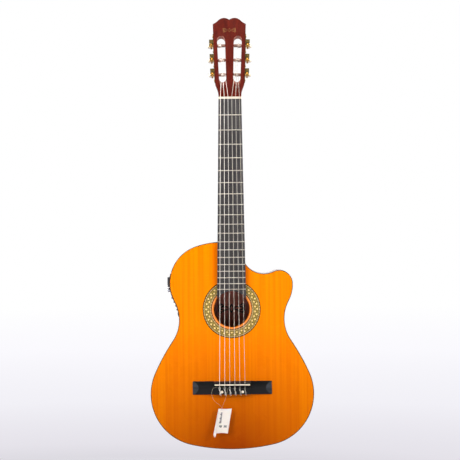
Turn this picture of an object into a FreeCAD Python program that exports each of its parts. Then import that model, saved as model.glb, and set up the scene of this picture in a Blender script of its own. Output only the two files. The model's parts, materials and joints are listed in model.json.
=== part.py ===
import FreeCAD, Part
import Sketcher
import math
import os
from FreeCAD import Placement, Rotation, Vector

# Cutaway classical guitar. Millimetres. X to the treble side, Y to the back, Z up the neck.
# y = 0 is the soundboard's face and the neck's top, z = 0 the nut's front edge.

doc = FreeCAD.newDocument("classical_guitar")
sizes = doc.addObject("Spreadsheet::Sheet", "sizes")

DRIVING = (
    ("scale_length", 650.0, "nut to saddle"),
    ("fret_count", 19, "frets"),
    ("nut_width", 52.0, "neck width at the nut"),
    ("body_joint_width", 62.0, "neck width at the twelfth fret"),
    ("fingerboard_thickness", 6.0, "fingerboard"),
    ("fret_height", 1.0, "fret crown above the fingerboard"),
    ("fret_width", 2.2, "fret crown"),
    ("tang_width", 0.6, "fret tang"),
    ("tang_depth", 1.9, "fret tang"),
    ("nut_length", 5.0, "nut along the strings"),
    ("nut_height", 8.6, "nut above the neck"),
    ("nut_string_height", 7.5, "underside of the strings at the nut"),
    ("nut_string_pitch", 8.65, "string spacing at the nut"),
    ("saddle_string_pitch", 11.5, "string spacing at the saddle"),
    ("saddle_height", 12.5, "saddle crown above the soundboard"),
    ("saddle_width", 2.9, "saddle along the strings"),
    ("saddle_length", 80.6, "saddle across the strings"),
    ("bottom_radius", 426.6, "outline: tail"),
    ("bottom_sweep", 12.68, "degrees"),
    ("lower_bout_radius", 118.3, "outline"),
    ("lower_bout_sweep", 101.34, "degrees"),
    ("flank_radius", 467.6, "outline: lower bout to waist"),
    ("flank_sweep", 10.25, "degrees"),
    ("waist_radius", 87.0, "outline, hollow"),
    ("waist_sweep", 62.63, "degrees"),
    ("upper_bout_radius", 87.6, "outline: bass side"),
    ("upper_bout_sweep", 99.56, "degrees"),
    ("shoulder_radius", 192.8, "outline: bass shoulder"),
    ("horn_flank_radius", 76.5, "outline: treble side above the waist"),
    ("horn_flank_sweep", 31.97, "degrees"),
    ("horn_radius", 30.3, "outline: tip of the horn"),
    ("horn_sweep", 112.0, "degrees"),
    ("cutaway_radius", 50.4, "outline: cutaway, hollow"),
    ("cutaway_sweep", 81.95, "degrees"),
    ("cutaway_root_radius", 25.0, "outline: cutaway beside the neck"),
    ("root_corner_radius", 7.0, "outline: corner beside the heel"),
    ("tail_z", -797.1, "tail on the centre line"),
    ("soundboard_thickness", 2.5, "soundboard"),
    ("rib_thickness", 2.5, "ribs"),
    ("back_thickness", 2.8, "back plate"),
    ("dome_radius", 4000.0, "arch of the back"),
    ("dome_depth", 104.3, "deepest point of the back"),
    ("dome_z", -611.8, "height of the deepest point"),
    ("binding_width", 1.6, "binding strips"),
    ("binding_depth", 4.5, "binding strips"),
    ("lining_width", 5.0, "linings"),
    ("lining_depth", 12.0, "linings"),
    ("soundhole_radius", 41.0, "soundhole"),
    ("soundhole_z", -478.4, "soundhole"),
    ("rosette_inner_radius", 45.5, "rosette"),
    ("rosette_outer_radius", 66.1, "rosette"),
    ("rosette_thickness", 1.2, "rosette inlay"),
    ("bridge_width", 180.0, "bridge across the strings"),
    ("bridge_front_z", -642.0, "front edge of the bridge"),
    ("bridge_length", 30.3, "bridge along the strings"),
    ("tie_block_width", 84.0, "middle of the bridge"),
    ("tie_block_height", 9.2, "tie block above the soundboard"),
    ("wing_height", 4.2, "crown of the bridge wings"),
    ("bolt_spacing", 47.0, "bridge bolts"),
    ("dot_diameter", 6.0, "pearl dots"),
    ("dot_thickness", 1.2, "pearl dots"),
    ("neck_depth_nut", 16.0, "neck below the fingerboard"),
    ("neck_depth_heel", 18.5, "neck where the heel begins"),
    ("heel_start_z", -268.0, "heel"),
    ("headstock_tilt", 14.0, "degrees"),
    ("headstock_thickness", 18.0, "headstock"),
    ("veneer_thickness", 2.0, "headstock veneer"),
    ("plate_thickness", 1.2, "tuner plates"),
    ("plate_width", 16.0, "tuner plates"),
    ("roller_pitch", 35.0, "tuner spacing"),
    ("barrel_diameter", 7.6, "string rollers"),
    ("pin_diameter", 5.0, "inner ends of the rollers"),
    ("gear_teeth", 15, "worm wheels"),
    ("worm_pitch", 2.7, "worms"),
    ("worm_radius", 3.75, "outside of the thread"),
    ("worm_core_radius", 1.95, "core"),
    ("gear_outer_radius", 7.2, "worm wheels"),
    ("gear_root_radius", 5.3, "worm wheels"),
    ("gear_width", 3.4, "worm wheels"),
    ("gear_offset", 5.4, "middle of the gear outside the headstock"),
    ("worm_height", 9.45, "worm axis above the roller axis"),
    ("button_width", 19.5, "tuner buttons"),
    ("button_length", 22.0, "tuner buttons"),
    ("button_thickness", 8.0, "tuner buttons"),
    ("panel_top_z", -398.0, "preamp panel"),
    ("panel_bottom_z", -496.0, "preamp panel"),
    ("panel_front_y", 25.0, "preamp panel"),
    ("panel_back_y", 65.0, "preamp panel"),
    ("panel_proud", 1.8, "preamp panel above the rib"),
    ("knob_diameter", 9.5, "volume knob"),
    ("knob_height", 5.4, "volume knob"),
    ("slider_travel", 16.0, "equaliser sliders"),
    ("slider_height", 2.2, "equaliser sliders"),
    ("display_thickness", 0.8, "tuner display"),
    ("door_thickness", 3.6, "battery door"),
    ("battery_length", 48.5, "battery"),
    ("battery_width", 26.5, "battery"),
    ("jack_radius", 3.2, "bore of the output jack"),
    ("jack_depth", 30.0, "bore of the output jack"),
    ("jack_y", 50.0, "output jack"),
    ("tag_thickness", 0.5, "hang tag"),
    ("thread_diameter", 0.5, "loop of the hang tag"),
    ("clearance", 0.3, "between pieces that move"),
)

for row, (alias, value, note) in enumerate(DRIVING, 1):
    sizes.set(f"A{row}", note)
    sizes.set(f"B{row}", str(value))
    sizes.setAlias(f"B{row}", alias)
doc.recompute()

STRING_DIAMETERS = {1: 0.71, 2: 0.82, 3: 1.02, 4: 0.74, 5: 0.88, 6: 1.09}
BASS, TREBLE = -1, 1
FRONT = Placement(Vector(), Rotation(Vector(1, 0, 0), 90))  # sketch x, y to world X, Z
sub_parts = []


def size(alias):
    return float(sizes.get(alias))


# ---------------------------------------------------------------- drawing helpers


def line(start, end):
    return Part.LineSegment(Vector(*start, 0), Vector(*end, 0))


def polygon(points):
    return [line(p, q) for p, q in zip(points, points[1:] + points[:1])]


def rectangle(left, right, low, high):
    return polygon([(left, low), (right, low), (right, high), (left, high)])


def circle(centre, radius):
    return Part.Circle(Vector(*centre, 0), Vector(0, 0, 1), radius)


def arc(centre, radius, start, end):
    """Anticlockwise, angles in radians."""
    return Part.ArcOfCircle(circle(centre, radius), start, end)


def arc_through(start, middle, end):
    return Part.Arc(*(Vector(*p, 0) for p in (start, middle, end)))


def face(curves):
    return Part.Face(Part.Wire([c.toShape() for c in curves]))


def box(x, y, z):
    """A box between pairs of X, Y and Z."""
    corner = Vector(min(x), min(y), min(z))
    return Part.makeBox(*(abs(b - a) for a, b in (x, y, z)), corner)


def rod(start, end, radius):
    start, end = Vector(*start), Vector(*end)
    return Part.makeCylinder(radius, (end - start).Length, start, end - start)


def placed(shape, placement):
    shape.Placement = placement
    return shape


def joined(shapes):
    first, *others = shapes
    return first.multiFuse(others).removeSplitter() if others else first


def tube(points, radius, label):
    """Straight runs joined by tangent arcs, each as large as its runs allow."""
    points = [Vector(*p) for p in points]
    edges, at, length, radii = [], points[0], 0.0, []
    for before, corner, after in zip(points, points[1:], points[2:]):
        into, out = (corner - before), (after - corner)
        turn = into.getAngle(out)
        share = 0.45 * min(into.Length, out.Length)
        radii.append(share / math.tan(turn / 2))
        into.normalize()
        out.normalize()
        start, end = corner - into * share, corner + out * share
        inwards = (out - into).normalize()
        centre = corner + inwards * math.hypot(radii[-1], share)
        middle = centre - inwards * radii[-1]
        edges += [Part.LineSegment(at, start).toShape(), Part.Arc(start, middle, end).toShape()]
        at = end
    edges.append(Part.LineSegment(at, points[-1]).toShape())
    wire = Part.Wire(edges)
    start = edges[0].tangentAt(edges[0].FirstParameter)
    section = Part.Wire([Part.makeCircle(radius, points[0], start)])
    shape = wire.makePipeShell([section], True, True)
    wanted = math.pi * radius**2 * wire.Length
    print(f"{label}: {wire.Length:.1f} long, smallest radius {min(radii):.2f},"
          f" volume {shape.Volume:.2f} for {wanted:.2f}")
    return shape


# ---------------------------------------------------------------- document helpers


def keep(thing):
    sub_parts.append(thing)
    return thing


def new_body(label):
    body = doc.addObject("PartDesign::Body", label)
    body.Label = label
    return keep(body)


def new_sketch(body, plane, curves, lift=0.0):
    sketch = body.newObject("Sketcher::SketchObject", f"{body.Name}_sketch")
    support = next(f for f in body.Origin.OriginFeatures if f.Role == f"{plane}_Plane")
    sketch.AttachmentSupport = [(support, "")]
    sketch.MapMode = "FlatFace"
    sketch.AttachmentOffset = Placement(Vector(0, 0, lift), Rotation())
    for curve in curves:
        sketch.addGeometry(curve, False)
    return sketch


def bind_radius(sketch, index, expression):
    """Drives the radius of one circle of a sketch."""
    sketch.addConstraint(Sketcher.Constraint("Radius", index, sketch.Geometry[index].Radius))
    sketch.setExpression(f"Constraints[{sketch.ConstraintCount - 1}]", expression)


def add_pad(body, sketch, length, backwards=False, midplane=False):
    feature = body.newObject("PartDesign::Pad", f"{body.Name}_pad")
    feature.Profile = sketch
    feature.setExpression("Length", length)
    feature.Reversed = backwards
    feature.Midplane = midplane
    sketch.Visibility = False
    return feature


def add_pocket(body, sketch, length=None, backwards=False):
    """A pocket of a bound depth, or through everything both ways."""
    doc.recompute()
    before = body.Shape.Volume
    feature = body.newObject("PartDesign::Pocket", f"{body.Name}_pocket")
    feature.Profile = sketch
    feature.Reversed = backwards
    if length:
        feature.setExpression("Length", length)
    else:
        feature.Type = "ThroughAll"
        feature.Midplane = True
    doc.recompute()
    if body.Shape.Volume > before - 0.01:
        raise ValueError(f"a pocket of {body.Label} cuts nothing")
    return feature


def add_edge_feature(body, kind, edges, amount):
    """A Fillet or a Chamfer on the named edges of the body's tip."""
    tip = body.Tip
    feature = body.newObject(f"PartDesign::{kind}", f"{body.Name}_{kind.lower()}")
    feature.Base = (tip, edges)
    feature.setExpression("Radius" if kind == "Fillet" else "Size", amount)
    return feature


def edges_where(body, test):
    doc.recompute()
    return [f"Edge{i}" for i, e in enumerate(body.Tip.Shape.Edges, 1) if test(e)]


def padded(label, plane, curves, length, lift=0.0, backwards=False, midplane=False):
    body = new_body(label)
    add_pad(body, new_sketch(body, plane, curves, lift), length, backwards, midplane)
    return body


def shaped(label, shape, placement=None):
    """A sub-part whose shape is worked out here from the sheet."""
    thing = doc.addObject("Part::Feature", label)
    thing.Label = label
    thing.Shape = shape
    if placement:
        thing.Placement = placement
    return keep(thing)


# ---------------------------------------------------------------- body outline


def travel(start, heading, turns):
    """Tangent arcs: (centre, radius, first angle, last angle, hollow). Right turns are positive."""
    arcs = []
    point = start
    for radius, sweep in turns:
        hollow = sweep < 0
        first = heading + (math.pi / 2 if not hollow else -math.pi / 2)
        turn = math.radians(sweep)
        centre = (point[0] - radius * math.cos(first), point[1] - radius * math.sin(first))
        last = first - turn
        arcs.append((centre, radius, first, last, hollow))
        point = (centre[0] + radius * math.cos(last), centre[1] + radius * math.sin(last))
        heading -= turn
    return arcs, point


def side_turns(names):
    """Radius and sweep of each named arc, the hollow ones turning left."""
    hollow = ("waist", "cutaway")
    return [
        (size(f"{n}_radius"), size(f"{n}_sweep") * (-1 if n in hollow else 1)) for n in names
    ]


LOWER = ["bottom", "lower_bout", "flank", "waist"]
tail = (0.0, size("tail_z"))
bass_turns = side_turns(LOWER + ["upper_bout"])
bass_turns.append((size("shoulder_radius"), 180 - sum(t[1] for t in bass_turns)))
treble_turns = side_turns(LOWER + ["horn_flank", "horn", "cutaway"])
treble_turns.append((size("cutaway_root_radius"), 90 - sum(t[1] for t in treble_turns)))
bass_arcs, shoulder_end = travel(tail, math.pi, bass_turns)
treble_arcs, root_end = travel(tail, math.pi, treble_turns)
body_top = shoulder_end[1]
root_x = -root_end[0]


def outline(inset=0.0):
    """The body's outline, moved inwards by inset, as arcs and lines in X and Z."""

    def inset_arc(centre, radius, first, last, hollow):
        return arc(centre, radius + (inset if hollow else -inset), *sorted((first, last)))

    def mirrored(centre, radius, first, last, hollow):
        return (-centre[0], centre[1]), radius, math.pi - first, math.pi - last, hollow

    side, top = root_x - inset, body_top - inset
    corner = max(size("root_corner_radius") - inset, 0.0)
    centre = (side - corner, top - corner)
    rounding = [arc(centre, corner, 0, math.pi / 2)] if corner else []
    return (
        [inset_arc(*a) for a in bass_arcs]
        + [line((shoulder_end[0], top), (centre[0], top))]
        + rounding
        + [line((side, centre[1]), (side, root_end[1]))]
        + [inset_arc(*mirrored(*a)) for a in reversed(treble_arcs)]
    )


def prism(inset, front, back):
    """The outline, moved inwards by inset, from y = front to y = back."""
    plate = face(outline(inset))
    plate.Placement = FRONT
    plate.translate(Vector(0, front, 0))
    return plate.extrude(Vector(0, back - front, 0))


def dome(lift=0.0):
    """A ball whose near face is the outside of the back, moved forwards by lift."""
    radius = size("dome_radius")
    centre = Vector(0, size("dome_depth") - radius, size("dome_z"))
    return Part.makeSphere(radius - lift, centre)


def hoop(outer_inset, inner_inset, front, back):
    return prism(outer_inset, front, back).cut(prism(inner_inset, front - 1, back + 1))


DEEP = 120.0  # beyond the back of the body
JACK_BARREL = 6.2  # radius of the jack's hole through the tail block


# ---------------------------------------------------------------- soundbox


def make_soundboard():
    body = padded(
        "soundboard",
        "XZ",
        outline(size("binding_width")),
        "sizes.soundboard_thickness",
        backwards=True,
    )
    centre = (0, size("soundhole_z"))
    hole = new_sketch(body, "XZ", [circle(centre, size("soundhole_radius"))])
    bind_radius(hole, 0, "sizes.soundhole_radius")
    add_pocket(body, hole)
    radii = ("rosette_inner_radius", "rosette_outer_radius")
    channel = new_sketch(body, "XZ", [circle(centre, size(r)) for r in radii])
    for index, alias in enumerate(radii):
        bind_radius(channel, index, f"sizes.{alias}")
    add_pocket(body, channel, "sizes.rosette_thickness")
    bolts = [circle((x, tie_block_z()), BOLT_RADIUS + 0.1) for x in bolt_xs()]
    add_pocket(body, new_sketch(body, "XZ", bolts))


def make_rosette():
    centre = (0, size("soundhole_z"))
    radii = ("rosette_inner_radius", "rosette_outer_radius")
    curves = [circle(centre, size(r)) for r in radii]
    body = padded("rosette", "XZ", curves, "sizes.rosette_thickness", backwards=True)
    ring = next(o for o in body.Group if o.TypeId.startswith("Sketcher"))
    for index, alias in enumerate(radii):
        bind_radius(ring, index, f"sizes.{alias}")


def make_shell():
    """Ribs, back plate, binding and linings, all cut from the outline and the dome."""
    wall = size("rib_thickness")
    band = size("binding_width")
    depth = size("binding_depth")
    inner_dome = dome(size("back_thickness"))
    front_ledge = hoop(-1, band, -1, depth)
    back_ledge = hoop(-1, band, 1, DEEP).cut(dome(depth))
    ribs = hoop(0, wall, size("soundboard_thickness"), DEEP).common(inner_dome)
    ribs = ribs.cut(front_ledge).cut(back_ledge)
    across = (-JACK_BARREL - 0.6, JACK_BARREL + 0.6)
    notch = box(across, [size("jack_y") + c for c in across], (tail[1] - 5, tail[1] + 5))
    ribs = ribs.cut(notch)
    window = box(PANEL_SPAN_X, PANEL_WINDOW_Y, PANEL_WINDOW_Z)
    shaped("rib_bass", ribs.common(box((-250, 0), (-5, DEEP), (-850, 0))).cut(window))
    shaped("rib_treble", ribs.common(box((0, 250), (-5, DEEP), (-850, 0))))
    shaped("back_plate", prism(band, 1, DEEP).common(dome()).cut(inner_dome))
    front_strip = hoop(0, band, 0, depth)
    back_strip = hoop(0, band, 1, DEEP).common(dome()).cut(dome(depth))
    shaped("binding", Part.makeCompound([front_strip, back_strip]))

    inner = wall + size("lining_width")
    start = size("soundboard_thickness")
    front_lining = hoop(wall, inner, start, start + size("lining_depth"))
    lining_dome = dome(size("back_thickness") + size("lining_depth"))
    back_lining = hoop(wall, inner, 1, DEEP).common(inner_dome).cut(lining_dome)
    blocks = [neck_block_box(), tail_block_box()]
    linings = [s for strip in (front_lining, back_lining) for s in strip.cut(blocks).Solids]
    shaped("linings", Part.makeCompound(linings))


def neck_block_box():
    return box((-32, 40), (0, DEEP), (body_top + 5, body_top - 46))


def tail_block_box():
    return box((-36, 36), (0, DEEP), (tail[1] - 5, tail[1] + 18))


def make_blocks():
    """Both blocks fill the shell's inside, and the tail block is bored for the jack."""
    wall = size("rib_thickness")
    inside = prism(wall, size("soundboard_thickness"), DEEP)
    inside = inside.common(dome(size("back_thickness")))
    shaped("neck_block", neck_block_box().common(inside))
    bore = rod((0, size("jack_y"), tail[1] - 5), (0, size("jack_y"), tail[1] + 40), JACK_BARREL)
    shaped("tail_block", tail_block_box().common(inside).cut(bore))


def make_bracing():
    """Two harmonic bars, seven fan braces and two closing bars under the soundboard."""
    start = size("soundboard_thickness")
    inside = prism(size("rib_thickness") + size("lining_width") + 0.2, 0, DEEP)
    bars = [box((-200, 200), (start, start + 14), (z - 4, z + 4)) for z in (-427, -531)]
    fan_top, fan_bottom = -545.0, -728.0
    for number in range(-3, 4):
        strut = box((-2.5, 2.5), (start, start + 5), (fan_top, fan_bottom))
        strut.translate(Vector(number * 27.0, 0, 0))
        strut.rotate(Vector(number * 27.0, 0, fan_top), Vector(0, 1, 0), number * 3.0)
        if abs(number) == 1:
            strut = strut.cut(bolt_clearance())
        bars.append(strut)
    for side in (BASS, TREBLE):
        bar = box((4, 100), (start, start + 5), (-745, -740))
        bar.rotate(Vector(4, 0, -745), Vector(0, 1, 0), -22)
        bars.append(bar if side == TREBLE else bar.mirror(Vector(), Vector(1, 0, 0)))
    shaped("soundboard_braces", Part.makeCompound([b.common(inside) for b in bars]))


def bolt_clearance():
    z = tie_block_z()
    return joined([rod((x, 0, z), (x, 20, z), 6.5) for x in bolt_xs()])


def make_back_braces():
    under = dome(size("back_thickness"))
    inside = prism(size("rib_thickness") + size("lining_width") + 0.2, 0, DEEP).common(under)
    bars = []
    for z in (-400, -535, -675):
        crown = size("dome_depth") - size("back_thickness")
        bar = box((-200, 200), (crown - 20, DEEP), (z - 5, z + 5)).common(inside)
        bars += bar.Solids
    shaped("back_braces", Part.makeCompound(bars))


# ---------------------------------------------------------------- bridge

BOLT_RADIUS = 2.0
TROUGH = (-653.1, -657.6)  # between the saddle's wall and the tie block
TROUGH_FLOOR = -4.0
SADDLE_FLOOR = -2.0
PIEZO = 1.2
TIE_HOLE_Y = -5.4


def saddle_z():
    return -size("scale_length") - 0.2


def bridge_back_z():
    return size("bridge_front_z") - size("bridge_length")


def tie_block_z():
    return (TROUGH[1] + bridge_back_z()) / 2 - 1.2


def saddle_x(number):
    return (3.5 - number) * size("saddle_string_pitch")


def make_bridge():
    front, back = size("bridge_front_z"), bridge_back_z()
    top = -size("tie_block_height")
    ridge = -size("tie_block_height") + 0.6
    middle = [
        (0, front),
        (-2.4, front),
        (ridge, front - 4.4),
        (ridge, TROUGH[0]),
        (TROUGH_FLOOR, TROUGH[0]),
        (TROUGH_FLOOR, TROUGH[1]),
        (top, TROUGH[1]),
        (top, back + 1.2),
        (top + 1.2, back),
        (0, back),
    ]
    body = padded("bridge", "YZ", polygon(middle), "sizes.tie_block_width", midplane=True)

    crown = -size("wing_height")
    rim = -1.6
    wing = [
        line((0, front), (rim, front)),
        arc_through((rim, front), (crown, (front + back) / 2), (rim, back)),
        line((rim, back), (0, back)),
        line((0, back), (0, front)),
    ]
    add_pad(body, new_sketch(body, "YZ", wing), "sizes.bridge_width", midplane=True)
    half, root = size("bridge_width") / 2, size("tie_block_width") / 2
    for side in (BASS, TREBLE):
        tip = polygon([(side * half, -1.3), (side * half, -20), (side * (half - 26), -20),
                       (side * (half - 14), crown - 0.1)])
        add_pocket(body, new_sketch(body, "XY", tip))

    slot = rectangle(
        -size("saddle_length") / 2,
        size("saddle_length") / 2,
        saddle_z() - size("saddle_width") / 2,
        saddle_z() + size("saddle_width") / 2,
    )
    body_slot = new_sketch(body, "XZ", slot, -SADDLE_FLOOR)
    add_pocket(body, body_slot, "sizes.saddle_height", backwards=True)
    holes = [circle((saddle_x(n), TIE_HOLE_Y), 1.2) for n in STRING_DIAMETERS]
    string_holes = new_sketch(body, "XY", holes, TROUGH[0] - 1)
    add_pocket(body, string_holes, "sizes.bridge_length")
    dots = [circle((x, tie_block_z()), size("dot_diameter") / 2) for x in bolt_xs()]
    head_floor = size("tie_block_height") - size("dot_thickness") - 2.0
    add_pocket(body, new_sketch(body, "XZ", dots, head_floor), "sizes.dot_thickness + 5",
               backwards=True)
    shanks = [circle((x, tie_block_z()), BOLT_RADIUS + 0.05) for x in bolt_xs()]
    add_pocket(body, new_sketch(body, "XZ", shanks))


def bolt_xs():
    half = size("bolt_spacing") / 2
    return (-half, half)


def make_saddle():
    """A bone strip with a rounded crown, on the piezo strip."""
    low = -(SADDLE_FLOOR - PIEZO)
    high = size("saddle_height")
    half = size("saddle_width") / 2 - 0.05
    z = saddle_z()
    section = [
        line((-low, z - half), (-low, z + half)),
        line((-low, z + half), (-(high - 1.2), z + half)),
        arc_through((-(high - 1.2), z + half), (-high, z), (-(high - 1.2), z - half)),
        line((-(high - 1.2), z - half), (-low, z - half)),
    ]
    padded("saddle", "YZ", section, "sizes.saddle_length - 0.2", midplane=True)


def make_bridge_fittings():
    z = tie_block_z()
    dots = [circle((x, z), size("dot_diameter") / 2 - 0.02) for x in bolt_xs()]
    lift = size("tie_block_height") - size("dot_thickness")
    padded("bridge_dots", "XZ", dots, "sizes.dot_thickness", lift)

    head = -lift
    under = size("soundboard_thickness")
    bolts = []
    for x in bolt_xs():
        bolt = [
            rod((x, head, z), (x, head + 2.0, z), size("dot_diameter") / 2 - 0.1),
            rod((x, head, z), (x, under + 5.0, z), BOLT_RADIUS),
            rod((x, under, z), (x, under + 0.8, z), 4.8),
            hexagonal_nut(x, under + 0.8, z),
        ]
        bolts.append(joined(bolt))
    shaped("bridge_bolts", Part.makeCompound(bolts))


def hexagonal_nut(x, y, z, across=7.0, thickness=3.2):
    radius = across / math.sqrt(3)
    corners = [
        (radius * math.cos(a), radius * math.sin(a))
        for a in (math.radians(60 * k) for k in range(6))
    ]
    nut = face(polygon(corners))
    nut.Placement = FRONT
    nut.translate(Vector(x, y, z))
    return nut.extrude(Vector(0, thickness, 0))


# ---------------------------------------------------------------- neck


def width_at(z):
    """Width of neck and fingerboard, which widen evenly from the nut."""
    growth = size("body_joint_width") - size("nut_width")
    return size("nut_width") + growth * abs(z) / (size("scale_length") / 2)


def neck_section(z, half_width, depth, fullness):
    """The neck's cross-section: flat on top, a superellipse below."""
    points = []
    for step in range(13):
        angle = math.pi * step / 12
        x = math.copysign(abs(math.cos(angle)) ** (2 / fullness), math.cos(angle)) * half_width
        y = abs(math.sin(angle)) ** (2 / fullness) * depth
        points.append(Vector(x, y, z))
    curve = Part.BSplineCurve()
    curve.interpolate(points)
    flat = Part.LineSegment(points[-1], points[0])
    return Part.Wire([curve.toShape(), flat.toShape()])


def make_neck():
    """A straight shaft, squared towards the headstock, and a heel that sweeps to the back."""
    thin, deep = size("neck_depth_nut"), size("neck_depth_heel")
    start = size("heel_start_z")
    joint, throat = size("nut_length"), -30.0
    neck_end = [
        neck_section(joint, width_at(0) / 2, thin, 6.0),
        neck_section(joint - 10, width_at(joint - 10) / 2, thin, 3.4),
        neck_section(throat, width_at(throat) / 2, thin, 2.2),
    ]
    shaft = [
        neck_section(throat, width_at(throat) / 2, thin, 2.2),
        neck_section(start, width_at(start) / 2, deep, 2.2),
    ]
    heel = [
        neck_section(start, width_at(start) / 2, deep, 2.2),
        neck_section(start - 20, width_at(start - 20) / 2, deep + 4, 2.15),
        neck_section(start - 36, 29.6, deep + 20, 2.05),
        neck_section(start - 47, 28.6, deep + 48, 1.95),
        neck_section(body_top, 27.9, deep + 87, 1.9),
    ]
    cap = box((-60, 60), (93.6, 200), (-400, 0))
    root = Part.makeLoft(heel, True, True).cut(cap)
    shaped("neck", joined([Part.makeLoft(neck_end, True, True), Part.makeLoft(shaft, True), root]))


def fret_z(number):
    return -size("scale_length") * (1 - 2 ** (-number / 12))


def board_half(z, spare=0.0):
    return width_at(z) / 2 - spare


def make_fingerboard():
    """Tapered, and cut at its end by the circle of the soundhole."""
    hole, radius = size("soundhole_z"), size("soundhole_radius")
    corner_x = board_half(-455)
    corner_z = hole + math.sqrt(radius**2 - corner_x**2)
    nut_x = board_half(0)
    curves = [
        line((-nut_x, 0), (nut_x, 0)),
        line((nut_x, 0), (corner_x, corner_z)),
        arc_through((corner_x, corner_z), (0, hole + radius), (-corner_x, corner_z)),
        line((-corner_x, corner_z), (-nut_x, 0)),
    ]
    body = padded("fingerboard", "XZ", curves, "sizes.fingerboard_thickness")
    half = size("tang_width") / 2
    slots = []
    for number in range(1, int(size("fret_count")) + 1):
        z = fret_z(number)
        slots += rectangle(-40, 40, z - half, z + half)
    lift = size("fingerboard_thickness") - size("tang_depth")
    add_pocket(body, new_sketch(body, "XZ", slots, lift), "sizes.tang_depth + 1", True)


def make_frets():
    """Each fret is a rounded crown on a thin tang."""
    top = -size("fingerboard_thickness")
    half, rise = size("fret_width") / 2, size("fret_height")
    frets = []
    for number in range(1, int(size("fret_count")) + 1):
        z = fret_z(number)
        reach = board_half(z, 0.3)
        crown = face([
            line((top, z + half), (top, z - half)),
            arc_through((top, z - half), (top - rise, z), (top, z + half)),
        ])
        crown.rotate(Vector(), Vector(1, 1, 1), 120)
        crown.translate(Vector(-reach, 0, 0))
        crown = crown.extrude(Vector(2 * reach, 0, 0))
        tang_half = size("tang_width") / 2
        tang = box((-reach, reach), (top, top + size("tang_depth")), (z - tang_half, z + tang_half))
        frets.append(joined([crown, tang]))
    shaped("frets", Part.makeCompound(frets))


def nut_x(number):
    return (3.5 - number) * size("nut_string_pitch")


def make_nut():
    half = size("nut_width") / 2
    top, length = -size("nut_height"), size("nut_length")
    section = [
        line((0, 0), (top, 0)),
        line((top, 0), (top, length - 2.5)),
        arc_through((top, length - 2.5), (top + 0.7, length - 0.7), (top + 2.2, length)),
        line((top + 2.2, length), (0, length)),
        line((0, length), (0, 0)),
    ]
    body = padded("nut", "YZ", section, "sizes.nut_width", midplane=True)
    grooves = []
    for number, diameter in STRING_DIAMETERS.items():
        x, r = nut_x(number), diameter / 2 + 0.04
        floor = -size("nut_string_height") - diameter / 2
        grooves += [
            line((x - r, -20), (x - r, floor)),
            arc_through((x - r, floor), (x, floor + r), (x + r, floor)),
            line((x + r, floor), (x + r, -20)),
            line((x + r, -20), (x - r, -20)),
        ]
    add_pocket(body, new_sketch(body, "XY", grooves))


# ---------------------------------------------------------------- headstock

SIDE_LOW = (33.6, 37.5)  # where the straight side begins: across, up
SIDE_HIGH = (38.0, 175.0)
SLOT_LOW = ((16.2, 44.2), 8.2)  # centre and radius of the slot's round ends
SLOT_HIGH = ((19.3, 136.8), 9.2)
MIDDLE_ROLLER = 90.2  # up the headstock
SIDE_SLANT = math.degrees(math.atan2(SIDE_HIGH[0] - SIDE_LOW[0], SIDE_HIGH[1] - SIDE_LOW[1]))
ROLLER_DEPTH = 8.5  # roller axes below the headstock's face


def headstock_frame():
    """X across, Y to the back and Z up the tilted headstock, from the nut's back edge."""
    tilt = Rotation(Vector(1, 0, 0), -size("headstock_tilt"))
    return Placement(Vector(0, 0, size("nut_length")), tilt)


def headstock_outline():
    side = [
        line((26.0, -6.0), (26.2, 9.0)),
        arc_through((26.2, 9.0), (27.4, 14.5), (30.2, 21.8)),
        arc_through((30.2, 21.8), (32.4, 28.4), SIDE_LOW),
        line(SIDE_LOW, SIDE_HIGH),
        arc_through(SIDE_HIGH, (31.3, 178.9), (25.5, 184.0)),
        arc_through((25.5, 184.0), (12.0, 189.8), (0.0, 185.4)),
    ]
    other = [mirrored_curve(c) for c in reversed(side)]
    return side + other + [line((-26.0, -6.0), (26.0, -6.0))]


def mirrored_curve(curve):
    start, end = curve.StartPoint, curve.EndPoint
    flip = [(-p.x, p.y) for p in (end, start)]
    if isinstance(curve, Part.LineSegment):
        return line(*flip)
    middle = curve.value((curve.FirstParameter + curve.LastParameter) / 2)
    return arc_through(flip[0], (-middle.x, middle.y), flip[1])


def slot_outline(side):
    """Two round ends joined by their outer tangents."""
    (x1, z1), r1 = SLOT_LOW
    (x2, z2), r2 = SLOT_HIGH
    apart = math.hypot(x2 - x1, z2 - z1)
    along = math.atan2(z2 - z1, x2 - x1)
    lean = math.acos((r1 - r2) / apart)
    right, left = along - lean, along + lean

    def on(centre, radius, angle):
        return centre[0] + radius * math.cos(angle), centre[1] + radius * math.sin(angle)

    low_right, high_right = on((x1, z1), r1, right), on((x2, z2), r2, right)
    low_left, high_left = on((x1, z1), r1, left), on((x2, z2), r2, left)
    curves = [
        line(low_right, high_right),
        arc_through(high_right, on((x2, z2), r2, along), high_left),
        line(high_left, low_left),
        arc_through(low_left, on((x1, z1), r1, along + math.pi), low_right),
    ]
    return curves if side == TREBLE else [mirrored_curve(c) for c in reversed(curves)]


def side_frame(side, number_up):
    """A tuner's frame: X outwards, Z up the headstock's edge, on a roller's axis."""
    lean = Rotation(Vector(0, 1, 0), side * SIDE_SLANT)
    turn = Rotation(Vector(0, 0, 1), 0 if side == TREBLE else 180)
    middle = Placement(Vector(side * roller_edge(0), ROLLER_DEPTH, MIDDLE_ROLLER), lean * turn)
    step = Placement(Vector(0, 0, number_up * size("roller_pitch")), Rotation())
    return headstock_frame() * middle * step


TUNERS = {  # string: side of the headstock, roller counted up from the middle one
    1: (TREBLE, -1),
    2: (TREBLE, 0),
    3: (TREBLE, 1),
    4: (BASS, 1),
    5: (BASS, 0),
    6: (BASS, -1),
}


def slot_inner_wall(up):
    (x1, z1), r1 = SLOT_LOW
    (x2, z2), r2 = SLOT_HIGH
    share = (up - z1) / (z2 - z1)
    return x1 - r1 + share * ((x2 - r2) - (x1 - r1))


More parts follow.
